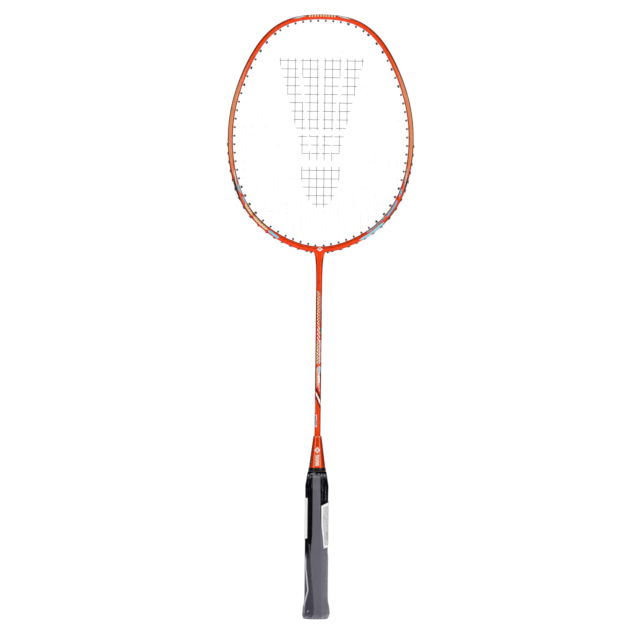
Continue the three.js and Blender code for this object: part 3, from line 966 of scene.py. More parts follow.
@dataclass(frozen=True)
class FilmFinish:
    """Clear shrink film, whitened where it is gathered, partly by its own crinkled milkiness and
    partly as painted glints, with a painted highlight line and a grey painted reflection on the
    right side.
    """

    name: str = "clear_film"
    tint: Colour = srgb(176, 175, 182)
    thinnest: float = 0.003
    thickest: float = 0.96

    def material(self) -> Material:
        """Build the material.

        Returns:
            The material.
        """
        shade = Shade(self.name)
        z = shade.place()[2]
        gathered, seam = shade.kept("gathered"), shade.kept("seam")
        crinkle = shade.noise(420, 4, (1, 1, 0.3))
        # The gathered ends show white speckles, partly the crinkled film's own milkiness and partly
        # painted glints.
        gathered_milk_and_glints = gathered * shade.noise(800, 3).above(0.54, 0.07) * 0.85
        shine, pocket = shade.kept("shine"), shade.kept("pocket")
        scratch = shade.noise(700, 3, (1, 1, 0.12)).above(0.62, 0.06) * z.above(128, 4) * 0.14
        # The pocket's grey is a painted reflection on the right side, and the shine is a painted
        # highlight line.
        layers = [(gathered, srgb(232, 232, 236)), (pocket, srgb(120, 118, 131))]
        layers += [(seam, srgb(40, 38, 44)), (shine, srgb(248, 248, 250))]
        shade.colour(self.tint, layers)
        opacity = gathered_milk_and_glints + seam * 0.4 + shine * 0.95 + pocket * 0.85 + scratch + self.thinnest
        opacity = opacity.low(self.thickest)
        shade.tree.links.new(opacity.socket, shade.shader.inputs["Alpha"])
        shade.set(Specular_IOR_Level=0.5, Coat_Weight=0.6, Coat_Roughness=0.05)
        shade.roughness(crinkle * 0.15 + gathered * 0.2 + 0.1)
        shade.bump(crinkle * 0.5 + shade.noise(60, 2) * 0.5, 0.00016)
        return shade.material


@dataclass(frozen=True)
class LabelPaper:
    """White coated paper with rows of faint grey print blocks."""

    name: str = "label_paper"

    def material(self) -> Material:
        """Build the material.

        Returns:
            The material.
        """
        shade = Shade(self.name)
        along, height = shade.kept("along"), shade.kept("height")
        row = height.saw(2.3)
        word = shade.noise(900, 2, (1, 1, 0.35)).above(0.46, 0.05)
        rows = row.above(0.3, 0.06) * row.below(0.72, 0.06) * word
        inside = along.above(1.9, 0.2) * along.below(64, 0.2)
        inside = inside * height.above(2.4, 0.2) * height.below(45.5, 0.3)
        panel = (along - 9.0).size().below(4.0, 0.1) * (height - 12).size().below(5.0, 0.1)
        bars = along.saw(1.1).above(0.45, 0.1) * panel
        pulp = shade.noise(1500, 4)
        layers = [
            (pulp.above(0.5, 0.3) * 0.2, srgb(226, 226, 224)),
            (inside * 0.8, srgb(220, 220, 220)),
            (rows * inside * (-panel + 1.0) * 0.9, srgb(100, 102, 110)),
            (bars * 0.8, srgb(84, 86, 94)),
        ]
        shade.colour(srgb(253, 253, 253), layers)
        shade.roughness(pulp * 0.2 + 0.4)
        shade.bump(pulp, 0.00002)
        return shade.material


@dataclass(frozen=True)
class BadgePrint:
    """A round paper badge with two rings and a plain five-armed star."""

    name: str = "badge_print"

    def material(self) -> Material:
        """Build the material.

        Returns:
            The material.
        """
        shade = Shade(self.name)
        x, y, _ = shade.place()
        radius = (x * x + y * y).op("SQRT")
        angle = y.op("ARCTAN2", x)
        point = (angle + math.pi).zigzag(2 * math.pi / 5)
        star = (radius - point * 2.6).below(2.0, 0.1)
        wide = (radius - 7.2).size().below(0.22, 0.05)
        fine = (radius - 6.5).size().below(0.12, 0.05)
        pulp = shade.noise(1500, 4)
        layers = [(pulp.above(0.5, 0.3) * 0.3, srgb(216, 214, 208))]
        layers += [(star.high(wide.high(fine)), srgb(228, 70, 24))]
        shade.colour(srgb(240, 238, 232), layers)
        shade.roughness(pulp * 0.25 + 0.35)
        shade.bump(pulp, 0.00002)
        return shade.material


@dataclass(frozen=True)
class CarbonFinish:
    """Moulded carbon: a fine twill of dark fibres in resin."""

    name: str = "carbon_insert"

    def material(self) -> Material:
        """Build the material.

        Returns:
            The material.
        """
        shade = Shade(self.name)
        x, y, z = shade.place()
        warp = (x + y).zigzag(1.6).above(0.5, 0.1)
        twill = (x + z).zigzag(3.2).above(0.5, 0.1)
        weave = (warp - twill).size()
        shade.colour(srgb(26, 26, 30), [(weave * 0.7, srgb(58, 58, 64))])
        shade.set(Metallic=0.3, Coat_Weight=0.6, Coat_Roughness=0.1)
        shade.roughness(weave * 0.12 + shade.noise(1800, 3) * 0.2 + 0.28)
        shade.bump(weave, 0.00004)
        return shade.material


@dataclass(frozen=True)
class WoodFinish:
    """Light straight-grained wood of the handle core."""

    name: str = "handle_wood"

    def material(self) -> Material:
        """Build the material.

        Returns:
            The material.
        """
        shade = Shade(self.name)
        grain = shade.noise(520, 5, (1, 1, 0.04))
        pores = shade.noise(2400, 3, (1, 1, 0.03))
        layers = [(grain.above(0.4, 0.3) * 0.8, srgb(172, 126, 78))]
        layers += [(pores.above(0.62, 0.06) * 0.7, srgb(112, 76, 44))]
        shade.colour(srgb(208, 168, 116), layers)
        shade.roughness(grain * 0.25 + 0.5)
        shade.bump(grain * 0.6 + pores * 0.4, 0.00006)
        return shade.material


def dress(piece: Piece, material: Material) -> None:
    """Put one material on a whole piece, in place of any it has."""
    piece.data.materials.clear()
    piece.data.materials.append(material)


def hand_over(piece: Piece, node: str, material: Material) -> None:
    """Dress a finished piece and give it to the frame.

    Args:
        piece: The piece.
        node: The frame's node that it stands for.
        material: Its material.
    """
    dress(piece, material)
    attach(piece, BODY)
    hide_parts(node)
    log.info("%s: %d faces, stands for %s", piece.name, len(piece.data.polygons), node)


def span(node: str) -> tuple[Array, Array]:
    """Lowest and highest corner of a node of the frame, in millimetres."""
    low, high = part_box(node)
    return np.array(low) / MM, np.array(high) / MM


# ---- Head ----------------------------------------------------------------------------------


@dataclass(frozen=True)
class Outline:
    """The head's outline, read by a turn angle that starts at the right and passes the crown.

    The outer edge is an ellipse whose two radii are both scaled by a fullness, the sum of seven low
    harmonics of the angle.
    """

    overall: float = 675.0
    length: float = 266.0
    width: float = 208.4
    crown_face: float = 5.5
    side_face: float = 5.9
    base_face: float = 6.9
    tip_length: float = 2.6

    @property
    def centre(self) -> float:
        """Height of the ellipse's middle."""
        return self.overall - self.length / 2

    @property
    def foot(self) -> float:
        """Height of the hoop's lowest outer edge."""
        return self.overall - self.length

    def edge(self, turn: Array | float) -> tuple[Array, Array]:
        """The outer edge.

        Args:
            turn: Turn angle.

        Returns:
            X and Z.
        """
        fullness = 1.0084 - 0.0038 * np.cos(2 * turn) - 0.013 * np.sin(3 * turn)
        fullness = fullness - 0.0098 * np.cos(4 * turn) - 0.0079 * np.sin(5 * turn)
        fullness = fullness + 0.0023 * np.cos(6 * turn) + 0.0053 * np.sin(7 * turn)
        x = self.width / 2 * fullness * np.cos(turn)
        z = self.centre + self.length / 2 * fullness * np.sin(turn)
        return x, z

    def outward(self, turn: Array | float, lean: float = 0.0) -> tuple[Array, Array]:
        """The outer edge's unit normal, turned about Y by a lean.

        Args:
            turn: Turn angle.
            lean: The lean.

        Returns:
            X and Z.
        """
        (x0, z0), (x1, z1) = self.edge(turn - 1e-3), self.edge(turn + 1e-3)
        length = np.hypot(x1 - x0, z1 - z0)
        nx, nz = (z1 - z0) / length, -(x1 - x0) / length
        c, s = math.cos(lean), math.sin(lean)
        return nx * c - nz * s, nx * s + nz * c

    def face(self, turn: Array | float) -> Array:
        """Width of the hoop seen from the front.

        Args:
            turn: Turn angle.

        Returns:
            The width there.
        """
        up = np.sin(turn)
        high = self.side_face + (self.crown_face - self.side_face) * up**2
        low = self.side_face + (self.base_face - self.side_face) * up**4
        return np.where(up > 0, high, low)

    def at(self, turn: Array, out: Array, y: Array, lean: float = 0.0) -> Array:
        """Points at a distance out from the outer edge (inwards is negative) and a depth.

        Args:
            turn: Turn angles.
            out: Distances out.
            y: Depths.
            lean: Lean of the way out.

        Returns:
            The points.
        """
        x, z = self.edge(turn)
        nx, nz = self.outward(turn, lean)
        return np.stack(np.broadcast_arrays(x + nx * out, y, z + nz * out), -1)

    def arc_table(self) -> tuple[Array, Array, Array]:
        """Measure the outer edge from the crown to the foot.

        Returns:
            Distance along the edge, with the X and Z there.
        """
        turn = np.linspace(QUARTER, -QUARTER, ARC_POINTS)
        x, z = self.edge(turn)
        step = np.hypot(np.diff(x), np.diff(z))
        return np.append(0, np.cumsum(step)), x, z

    def along_at_height(self, height: float) -> float:
        """Distance along the outer edge from the crown down to a height."""
        arc, _, z = self.arc_table()
        return float(np.interp(-height, -z, arc))

    def along_at_side(self, side: float) -> float:
        """Distance along the outer edge from the crown out to a sideways place near it.

        Args:
            side: The sideways place.

        Returns:
            The distance.
        """
        arc, x, _ = self.arc_table()
        near = ARC_POINTS * 3 // 10
        return float(np.interp(side, x[:near], arc[:near]))


OUTLINE = Outline()


@dataclass(frozen=True)
class Hole:
    """One string hole through the hoop."""

    place: str
    number: int
    side: int
    turn: float
    shared: bool
    lean: float = 0.0

    @property
    def grooved(self) -> bool:
        """Whether the hole opens in the outer groove."""
        return self.place == "crown" or (self.place == "side" and self.number <= LAST_GROOVED)

    @property
    def bore(self) -> float:
        """Radius of the grommet's bore, wide enough for the strings that pass."""
        return SHARED_BORE if self.shared else PLAIN_BORE

    @property
    def barrel(self) -> float:
        """Radius of the grommet's barrel."""
        return self.bore + BARREL_WALL

    @property
    def tip(self) -> float:
        """Where the barrel's inner end is, out from the edge."""
        return -float(OUTLINE.face(self.turn)) - OUTLINE.tip_length

    @property
    def flange(self) -> float:
        """Radius of the grommet's flange."""
        wide = max(LEAST_FLANGE, self.barrel + FLANGE_LIP)
        return self.barrel + LEANING_LIP if self.lean else wide

    @property
    def seat(self) -> float:
        """How far out the flange's underside stands."""
        return SEAT_GAP + self.flange * math.sin(abs(self.lean))

    @property
    def loop(self) -> float:
        """How far out the middle of a string that passes over the hole runs."""
        top = BAND_TOP if self.grooved else self.seat + FLANGE_HEIGHT
        return top + SEAT_GAP + STRING_RADIUS

    def point(self, out: float, y: float = 0.0) -> Array:
        """A point on the hole's axis, moved to a depth."""
        return OUTLINE.at(self.turn, out, y, self.lean)

    def depth(self, layer: float) -> float:
        """Depth at which a layer's string passes: two strings share a wide bore side by side."""
        return layer * SHARED_OFFSET if self.shared else 0.0

    def mouth(self, layer: float) -> Array:
        """Where a layer's string comes out of the barrel's inner end."""
        return self.point(self.tip - TIP_REACH, self.depth(layer))

    def lathe(self, profile: Array, sides: int) -> Array:
        """Carry a closed profile of (radius, distance out) round the hole's axis.

        Args:
            profile: Radius and distance out, in order.
            sides: Points round the axis.

        Returns:
            Rings of points, sides by profile by 3.
        """
        angle = 2 * np.pi * np.arange(sides) / sides
        nx, nz = OUTLINE.outward(self.turn, self.lean)
        outward = np.array([nx, 0.0, nz])
        along = np.array([-nz, 0.0, nx])
        spoke = np.cos(angle)[:, None] * along + np.sin(angle)[:, None] * np.array([0.0, 1.0, 0.0])
        start = self.point(0.0)
        radius, out = profile[None, :, 0, None], profile[None, :, 1, None]
        return start + out * outward + radius * spoke[:, None]


@dataclass
class StringPlan:
    """Where every string hole is, and the order in which the two strings pass through them."""

    mains: int = 11
    crosses: int = 22
    first_cross: float = 651.8
    last_cross: float = 453.4
    outer_main: float = 10.65
    throat_lean: float = 0.42
    turn_in: float = 0.5
    move_over: float = 2.2
    loop_step: float = 0.4
    bed_step: float = 1.5
    loop_softening: int = 3
    halvings: int = 50

    def __post_init__(self) -> None:
        """Place the holes of both sides."""
        span_of_mains = OUTLINE.width - 2 * (OUTLINE.side_face + self.outer_main)
        self.main_pitch = span_of_mains / (2 * self.mains - 1)
        self.cross_pitch = (self.first_cross - self.last_cross) / (self.crosses - 1)
        self.sides = {-1: self.holes_on(-1), 1: self.holes_on(1)}

    def main_x(self, number: int) -> float:
        """Sideways place of a main string."""
        return (number - 0.5) * self.main_pitch

    def cross_z(self, number: int) -> float:
        """Height of a cross string."""
        return self.first_cross - (number - 1) * self.cross_pitch

    def find_turn(
        self, low: float, high: float, axis: int, value: float, lean: float = 0.0
    ) -> float:
        """Turn angle at which a hole's inner tip reaches a given X or Z, by halving the range.

        Args:
            low: One end of the range of turn angles.
            high: Its other end.
            axis: 0 for X, 2 for Z.
            value: The X or Z to reach.
            lean: The hole's lean.

        Returns:
            The turn angle.
        """
        def tip(turn: float) -> float:
            """The tip's X or Z at a turn angle."""
            out = -OUTLINE.face(turn) - OUTLINE.tip_length
            return float(OUTLINE.at(turn, out, 0.0, lean)[axis])

        rising = tip(high) > tip(low)
        for _ in range(self.halvings):
            middle = (low + high) / 2
            if (tip(middle) > value) == rising:
                high = middle
            else:
                low = middle
        return (low + high) / 2

    def holes_on(self, side: int) -> dict[str, Hole]:
        """Place every hole of one side.

        Args:
            side: 1 for the right, -1 for the left.

        Returns:
            The holes, keyed by place and number.
        """
        holes = {}

        def add(place: str, number: int, turn: float, shared: bool, lean: float = 0.0) -> None:
            """Keep one hole, mirrored for the left side."""
            place_turn = turn if side > 0 else math.pi - turn
            holes[f"{place}{number}"] = Hole(place, number, side, place_turn, shared, lean * side)

        for k in range(1, 7):
            turn = self.find_turn(0.2 * QUARTER, QUARTER, 0, self.main_x(k))
            add("crown", k, turn, side > 0 and k == 4)
        shared = {*TOP_SIDE.values(), *LOW_SIDE.values(), 20}
        for j in range(1, self.crosses + 1):
            add("side", j, self.find_turn(-QUARTER, QUARTER, 2, self.cross_z(j)), j in shared)
        for k in range(8, 0, -1):
            lean = self.throat_lean if k == 1 else 0.0
            turn = self.find_turn(-0.2 * QUARTER, -QUARTER, 0, self.main_x(k), lean)
            add("base", k, turn, side > 0 and k == 8, lean)
        return holes

    def outside(self, start: Hole, end: Hole, between: list[Hole], layer: float) -> Array:
        """The string's way from one hole's inner tip out, over the hoop and in at another's.

        Args:
            start: The hole that it leaves through.
            end: The hole that it comes back through.
            between: Holes that it passes over.
            layer: 1 for the mains, which run behind, and -1 for the crosses.

        Returns:
            Close points along the way.
        """
        heading = math.copysign(1.0, end.turn - start.turn)

        def beside(hole: Hole, distance: float, y: float) -> Array:
            """A point of the loop at a distance along the hoop from a hole.

            Args:
                hole: The hole.
                distance: How far along the hoop.
                y: The point's depth.

            Returns:
                The point.
            """
            x, z = OUTLINE.edge(hole.turn)
            shift = distance / math.hypot(float(x), float(z) - OUTLINE.centre)
            return OUTLINE.at(hole.turn + shift, hole.loop, y)

        turn_in, move_over = self.turn_in * heading, self.move_over * heading
        points = [start.mouth(layer), start.point(start.loop - self.turn_in, start.depth(layer))]
        points += [beside(start, turn_in, start.depth(layer)), beside(start, move_over, layer)]
        points += [OUTLINE.at(hole.turn, hole.loop, layer) for hole in between]
        points += [beside(end, -move_over, layer), beside(end, -turn_in, end.depth(layer))]
        points += [end.point(end.loop - self.turn_in, end.depth(layer)), end.mouth(layer)]
        dense = resample(np.array(points), self.loop_step)
        for _ in range(self.loop_softening):
            dense[1:-1] = (dense[:-2] + 2 * dense[1:-1] + dense[2:]) / 4
        return dense

    def bed_run(self, start: Hole, end: Hole, layer: float) -> Array:
        """A straight run across the stringbed that weaves over and under.

        The depth is a cosine with half a wave between neighbouring crossings, and fades to the
        depth of the holes near both ends.

        Args:
            start: The hole it starts at.
            end: The hole it ends at.
            layer: 1 for the mains and -1 for the crosses.

        Returns:
            Points along the run.
        """
        first, last = start.mouth(layer), end.mouth(layer)
        run = resample(np.array([first, last]), self.bed_step)
        column = run[:, 0] / self.main_pitch - 0.5
        row = (self.first_cross - run[:, 2]) / self.cross_pitch
        count = column if layer < 0 else row
        fixed = row if layer < 0 else column
        wave = np.cos(np.pi * (count + np.round(np.median(fixed)))) * WEAVE_DEPTH * layer
        reach = np.minimum(np.linalg.norm(run - first, axis=1), np.linalg.norm(run - last, axis=1))
        share = smooth_step(reach, 0.8, 5.0)
        run[:, 1] = run[:, 1] * (1 - share) + wave * share
        return run

    def half_of_mains(self, side: int) -> list[Array]:
        """The mains of one side, from the crown's middle to the tie-off beside the last.

        Args:
            side: 1 for the right, -1 for the left.

        Returns:
            Stretches of the way, in order.
        """
        holes = self.sides[side]

        def ends(k: int) -> tuple[Hole, Hole]:
            """The upper and lower hole of a main.

            Args:
                k: The main's number, from the middle.

            Returns:
                The two holes.
            """
            top = f"side{TOP_SIDE[k]}" if k in TOP_SIDE else f"crown{k}"
            low = f"side{LOW_SIDE[k]}" if k in LOW_SIDE else f"base{k}"
            return holes[top], holes[low]

        parts = []
        for k in range(1, self.mains + 1):
            downward = k % 2 == 1
            start, end = ends(k) if downward else ends(k)[::-1]
            parts.append(self.bed_run(start, end, 1))
            if k < self.mains:
                after = ends(k + 1)[1 if downward else 0]
                between = [holes["side6"]] if k == 10 else []
                parts.append(self.outside(end, after, between, 1))
        parts.append(self.outside(ends(self.mains)[1], holes["side20"], [], 1))
        return parts

    def main_route(self) -> Array:
        """The whole way of the main string, from the left tie-off to the right one.

        Returns:
            Points along the way.
        """
        right = np.vstack(self.half_of_mains(1))
        left = np.vstack(self.half_of_mains(-1))[::-1]
        over = self.outside(self.sides[-1]["crown1"], self.sides[1]["crown1"], [], 1)
        return thin_out(np.vstack([left, over, right]))

    def cross_route(self) -> Array:
        """The whole way of the cross string, from the crown's right down to the base's right.

        Returns:
            Points along the way.
        """
        left, right = self.sides[-1], self.sides[1]
        between = [right["crown5"], right["crown6"]]
        parts = [self.outside(right["crown4"], right["side1"], between, -1)]
        for j in range(1, self.crosses + 1):
            start, end = (right, left) if j % 2 == 1 else (left, right)
            parts.append(self.bed_run(start[f"side{j}"], end[f"side{j}"], -1))
            if j < self.crosses:
                parts.append(self.outside(end[f"side{j}"], end[f"side{j + 1}"], [], -1))
        parts.append(self.outside(right["side22"], right["base8"], [], -1))
        return thin_out(np.vstack(parts))


def resample(points: Array, step: float) -> Array:
    """Even points along a polyline, no further apart than step.

    Args:
        points: Points of the polyline.
        step: Longest gap.

    Returns:
        The even points.
    """
    lengths = np.append(0, np.cumsum(np.linalg.norm(np.diff(points, axis=0), axis=1)))
    count = max(2, math.ceil(lengths[-1] / step) + 1)
    at = np.linspace(0, lengths[-1], count)
    return np.stack([np.interp(at, lengths, points[:, n]) for n in range(3)], -1)


def thin_out(points: Array) -> Array:
    """Drop points that repeat the one before them."""
    apart = np.linalg.norm(np.diff(points, axis=0), axis=1) > 1e-4
    return points[np.append(True, apart)]


@dataclass
class Head:
    """The hoop, its grommets and the two strings."""

    plan: StringPlan
    depth: float = 10.6
    squareness: float = 2.7
    groove_depth: float = 2.1
    groove_half: float = 2.3
    rings: int = 720
    twist_length: float = 1.3

    def hoop(self) -> Piece:
        """Build the hoop.

        The section at each turn is a superellipse between the inner and outer edge; within the
        groove's width its outer side drops to the groove's floor, whose depth fades at both ends.

        Returns:
            The hoop.
        """
        half_depth = self.depth / 2
        lip = math.degrees(math.asin((self.groove_half / half_depth) ** (self.squareness / 2)))
        flank = np.array([90, 80, 70, 60, 50, 40, 30])
        outer = np.radians(np.append(flank[:-1], [(30 + lip) / 2 + 2, lip]))

        def depth_of(angle: Array) -> Array:
            """Depth of the section at an angle round it."""
            up = np.sin(angle)
            return half_depth * np.sign(up) * np.abs(up) ** (2 / self.squareness)

        floor_y = np.array([-1, -0.93, -0.6, -0.2, 0.2, 0.6, 0.93, 1]) * (self.groove_half - 0.04)
        inner = np.radians(np.linspace(90, -90, 21)[1:-1])
        y = np.concatenate([depth_of(-outer), floor_y, depth_of(outer[::-1]), depth_of(inner)])
        sign = np.concatenate([np.ones(len(outer) * 2 + len(floor_y)), -np.ones(len(inner))])
        is_floor = np.zeros(len(y), bool)
        is_floor[len(outer):len(outer) + len(floor_y)] = True
        bulge = (1 - np.abs(y / half_depth) ** self.squareness).clip(0) ** (1 / self.squareness)
        turn = 2 * np.pi * np.arange(self.rings) / self.rings
        face = OUTLINE.face(turn)[:, None]
        out = -face / 2 + face / 2 * (bulge * sign)[None, :]
        start = self.plan.sides[1][f"side{LAST_GROOVED}"].turn - 0.04
        from_crown = np.abs((turn - QUARTER + np.pi) % (2 * np.pi) - np.pi)
        open_share = 1 - smooth_step(from_crown, QUARTER - start - 0.02, QUARTER - start)
        floor = np.minimum(out, -self.groove_depth)
        out = np.where(is_floor[None, :], out + (floor - out) * open_share[:, None], out)
        points = OUTLINE.at(turn[:, None], out, np.broadcast_to(y, out.shape))
        arc, _, _ = OUTLINE.arc_table()
        along = np.interp(from_crown, np.linspace(0, np.pi, ARC_POINTS), arc)
        fields = {"along": np.broadcast_to(along[:, None], out.shape), "across": 1 + 2 * out / face}
        return add_surface("hoop", points, True, fields, 35)

    def moulding_profile(self, hole: Hole, top: float, flange: float, seat: float) -> Array:
        """A grommet's closed section: bore, rounded tip, barrel, and flange if it is wider.

        Args:
            hole: The hole it fills.
            top: How far out its top is.
            flange: The flange's radius, or 0.
            seat: How far out the flange's underside is.

        Returns:
            Radius and distance out, in order.
        """
        b, w, foot = hole.bore, hole.barrel, hole.tip
        section = [(b, foot + 0.2), (b + 0.08, foot), (w - 0.1, foot), (w, foot + 0.14)]
        if flange > w:
            section += [(w, seat - 0.3), (w + 0.12, seat - 0.06), (flange - 0.1, seat)]
            section += [(flange, seat + 0.1), (flange, top - 0.2), (flange - 0.16, top)]
        else:
            section += [(w, top)]
        section += [(b + 0.28, top), (b + 0.06, top - 0.1), (b, top - 0.3)]
        return np.array(section)

    def single_grommet(self, name: str, hole: Hole) -> Piece:
        """Build one separate grommet.

        Args:
            name: The piece's name.
            hole: The hole it fills.

        Returns:
            The grommet.
        """
        profile = self.moulding_profile(hole, hole.seat + FLANGE_HEIGHT, hole.flange, hole.seat)
        rings = hole.lathe(profile, 18)
        return add_surface(name, rings, True, self.reaches(hole, profile[:, 1], rings.shape[:2]))

    def reaches(self, hole: Hole, out: Array, shape: tuple[int, int]) -> dict[str, Array]:
        """Fields that say how far out points are, and how far past the hoop's inner edge."""
        out = np.broadcast_to(out, shape)
        return {"out": out, "past": -float(OUTLINE.face(hole.turn)) - out}

    def strip(self, name: str, start: float, end: float, holes: list[Hole]) -> Piece:
        """Build a strip: a band with rounded edges on the groove's floor and a barrel per hole.

        Args:
            name: The piece's name.
            start: Turn angle of one end.
            end: Turn angle of the other.
            holes: The holes it fills.

        Returns:
            The strip.
        """
        section = np.array([(-0.7, -1.78), (-0.7, 1.78), (-0.6, 1.9), (-0.16, 1.9), (-0.03, 1.76),
                            (0.0, 0.8), (0.0, -0.8), (-0.03, -1.76), (-0.16, -1.9), (-0.6, -1.9)])
        turn = np.linspace(start, end, max(40, round(abs(end - start) * 110)))[:, None]
        depth = np.broadcast_to(section[:, 1], (len(turn), len(section)))
        band = OUTLINE.at(turn, BAND_TOP + section[None, :, 0], depth)
        fields = self.reaches(holes[0], np.array(BAND_TOP), band.shape[:2])
        parts = [add_surface(name, band, False, fields)]
        for hole in holes:
            profile = self.moulding_profile(hole, BAND_TOP + 0.05, 0.0, 0.0)
            rings = hole.lathe(profile, 16)
            fields = self.reaches(hole, profile[:, 1], rings.shape[:2])
            parts.append(add_surface(f"{name}_barrel", rings, True, fields))
        return merge(name, parts)

    def knot(self, hole: Hole, layer: float) -> Array:
        """A small tied knot at a hole's inner tip: a tube along a trefoil.

        Args:
            hole: The hole it is tied at.
            layer: The depth it leans to.

        Returns:
            Rings of points.
        """
        t = 2 * np.pi * np.arange(73) / 72
        loop_x, loop_z = np.sin(t) + 2 * np.sin(2 * t), np.cos(t) - 2 * np.cos(2 * t)
        loops = np.stack([loop_x, -np.sin(3 * t), loop_z], -1)
        centre = hole.point(hole.tip - 1.1, layer * 0.3)
        return tube(centre + loops * np.array([0.27, 0.24, 0.3]), 0.32, 7)

    def string(self, name: str, route: Array, ties: list[Hole], layer: float) -> Piece:
        """Build a string with a knot where each of its ends is tied off.

        Args:
            name: The piece's name.
            route: Points along its way.
            ties: The holes it is tied off at.
            layer: 1 for the mains and -1 for the crosses.

        Returns:
            The string.
        """
        def surface(label: str, path: Array, rings: Array) -> Piece:
            """A tube with the fibres' twist kept per point.

            Args:
                label: The mesh's name.
                path: Its middle line.
                rings: Its rings of points.

            Returns:
                The tube.
            """
            length = np.append(0, np.cumsum(np.linalg.norm(np.diff(path, axis=0), axis=1)))
            around = np.arange(rings.shape[1])[None, :] / rings.shape[1]
            lay = length[:, None] / self.twist_length + around
            return add_surface(label, rings, False, {"twist": lay}, 80)

        parts = [surface(name, route, tube(route, STRING_RADIUS, 8))]
        for hole in ties:
            rings = self.knot(hole, layer)
            parts.append(surface(f"{name}_knot", rings.mean(1), rings))
        return merge(name, parts)

    def build(self) -> None:
        """Build, dress and hand over everything in the head."""
        lacquer = HoopLacquer().material(OUTLINE.along_at_height, OUTLINE.along_at_side)
        hand_over(self.hoop(), "head_frame", lacquer)
        left, right = self.plan.sides[-1], self.plan.sides[1]
        black = GrommetMoulding("black_grommet", srgb(10, 10, 12), srgb(30, 30, 33)).material()
        clear = GrommetMoulding("smoked_grommet", srgb(10, 11, 12), srgb(88, 102, 100)).material()
        crown_end = (right["crown6"].turn + right["side1"].turn) / 2
        crown = [hole for side in (left, right) for hole in side.values() if hole.place == "crown"]
        strip = self.strip("crown_strip", crown_end + 0.006, math.pi - crown_end - 0.006, crown)
        hand_over(strip, "crown_grommet_strip", black)
        for side_name, holes in (("left", left), ("right", right)):
            members = [hole for hole in holes.values() if hole.grooved and hole.place == "side"]
            side = members[0].side
            ends = [crown_end - 0.006, right[f"side{LAST_GROOVED}"].turn - 0.035]
            if side < 0:
                ends = [math.pi - end for end in ends]
            strip = self.strip(f"{side_name}_strip", ends[0], ends[1], members)
            hand_over(strip, f"{side_name}_grommet_strip", black)
            for hole in holes.values():
                if not hole.grooved:
                    place = f"{hole.place}_{hole.number}"
                    piece = self.single_grommet(f"{side_name}_moulding_{place}", hole)
                    hand_over(piece, f"{side_name}_grommet_{place}", clear)
        white = StringFinish().material()
        ties = [left["side20"], right["side20"]]
        mains = self.string("mains", self.plan.main_route(), ties, 1)
        hand_over(mains, "main_string", white)
        ties = [right["crown4"], right["base8"]]
        crosses = self.string("crosses", self.plan.cross_route(), ties, -1)
        hand_over(crosses, "cross_string", white)
        dress(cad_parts["t_joint"], CarbonFinish().material())


# ---- Shaft and handle ----------------------------------------------------------------------


@dataclass
class Shaft:
    """The tubular shaft with the throat that flares into the hoop."""

    radius: float = 3.4
    bore: float = 2.5
    throat: float = 37.4
    flare: float = 7.5
    tuck: float = 1.2
    thickest: float = 4.7
    sides: int = 64

    def build(self) -> None:
        """Build the shaft: a turned profile that flares along a cubic curve under the hoop.

        The flare's depth is held by a power mean of its half width and a largest half depth.
        """
        foot = span("shaft")[0][2]
        start, top = OUTLINE.foot - self.throat, OUTLINE.foot + self.tuck
        t = np.linspace(0, 1, 46)[:, None]
        knots = np.array([
            [self.radius, start],
            [self.radius + 0.2, start + 0.7 * self.throat],
            [self.radius + 1.0, start + 0.965 * self.throat],
            [self.flare, top],
        ])
        flare = (1 - t) ** 3 * knots[0] + 3 * t * (1 - t) ** 2 * knots[1]
        flare = flare + 3 * t**2 * (1 - t) * knots[2] + t**3 * knots[3]
        straight = fine_profile([(self.radius, foot), (self.radius, start)], 4.0)
        inside = np.array([(self.bore, top), (self.bore, foot + 4), (self.bore, foot)])
        profile = np.vstack([straight[:-1], flare, inside])
        rings = revolve(profile, self.sides)
        across = np.hypot(rings[..., 0], rings[..., 1])
        rings[..., 1] *= (1 + (across / self.thickest) ** 6) ** (-1 / 6)
        piece = add_surface("shaft_tube", rings, True, None, 60)
        hand_over(piece, "shaft", ShaftLacquer().material())


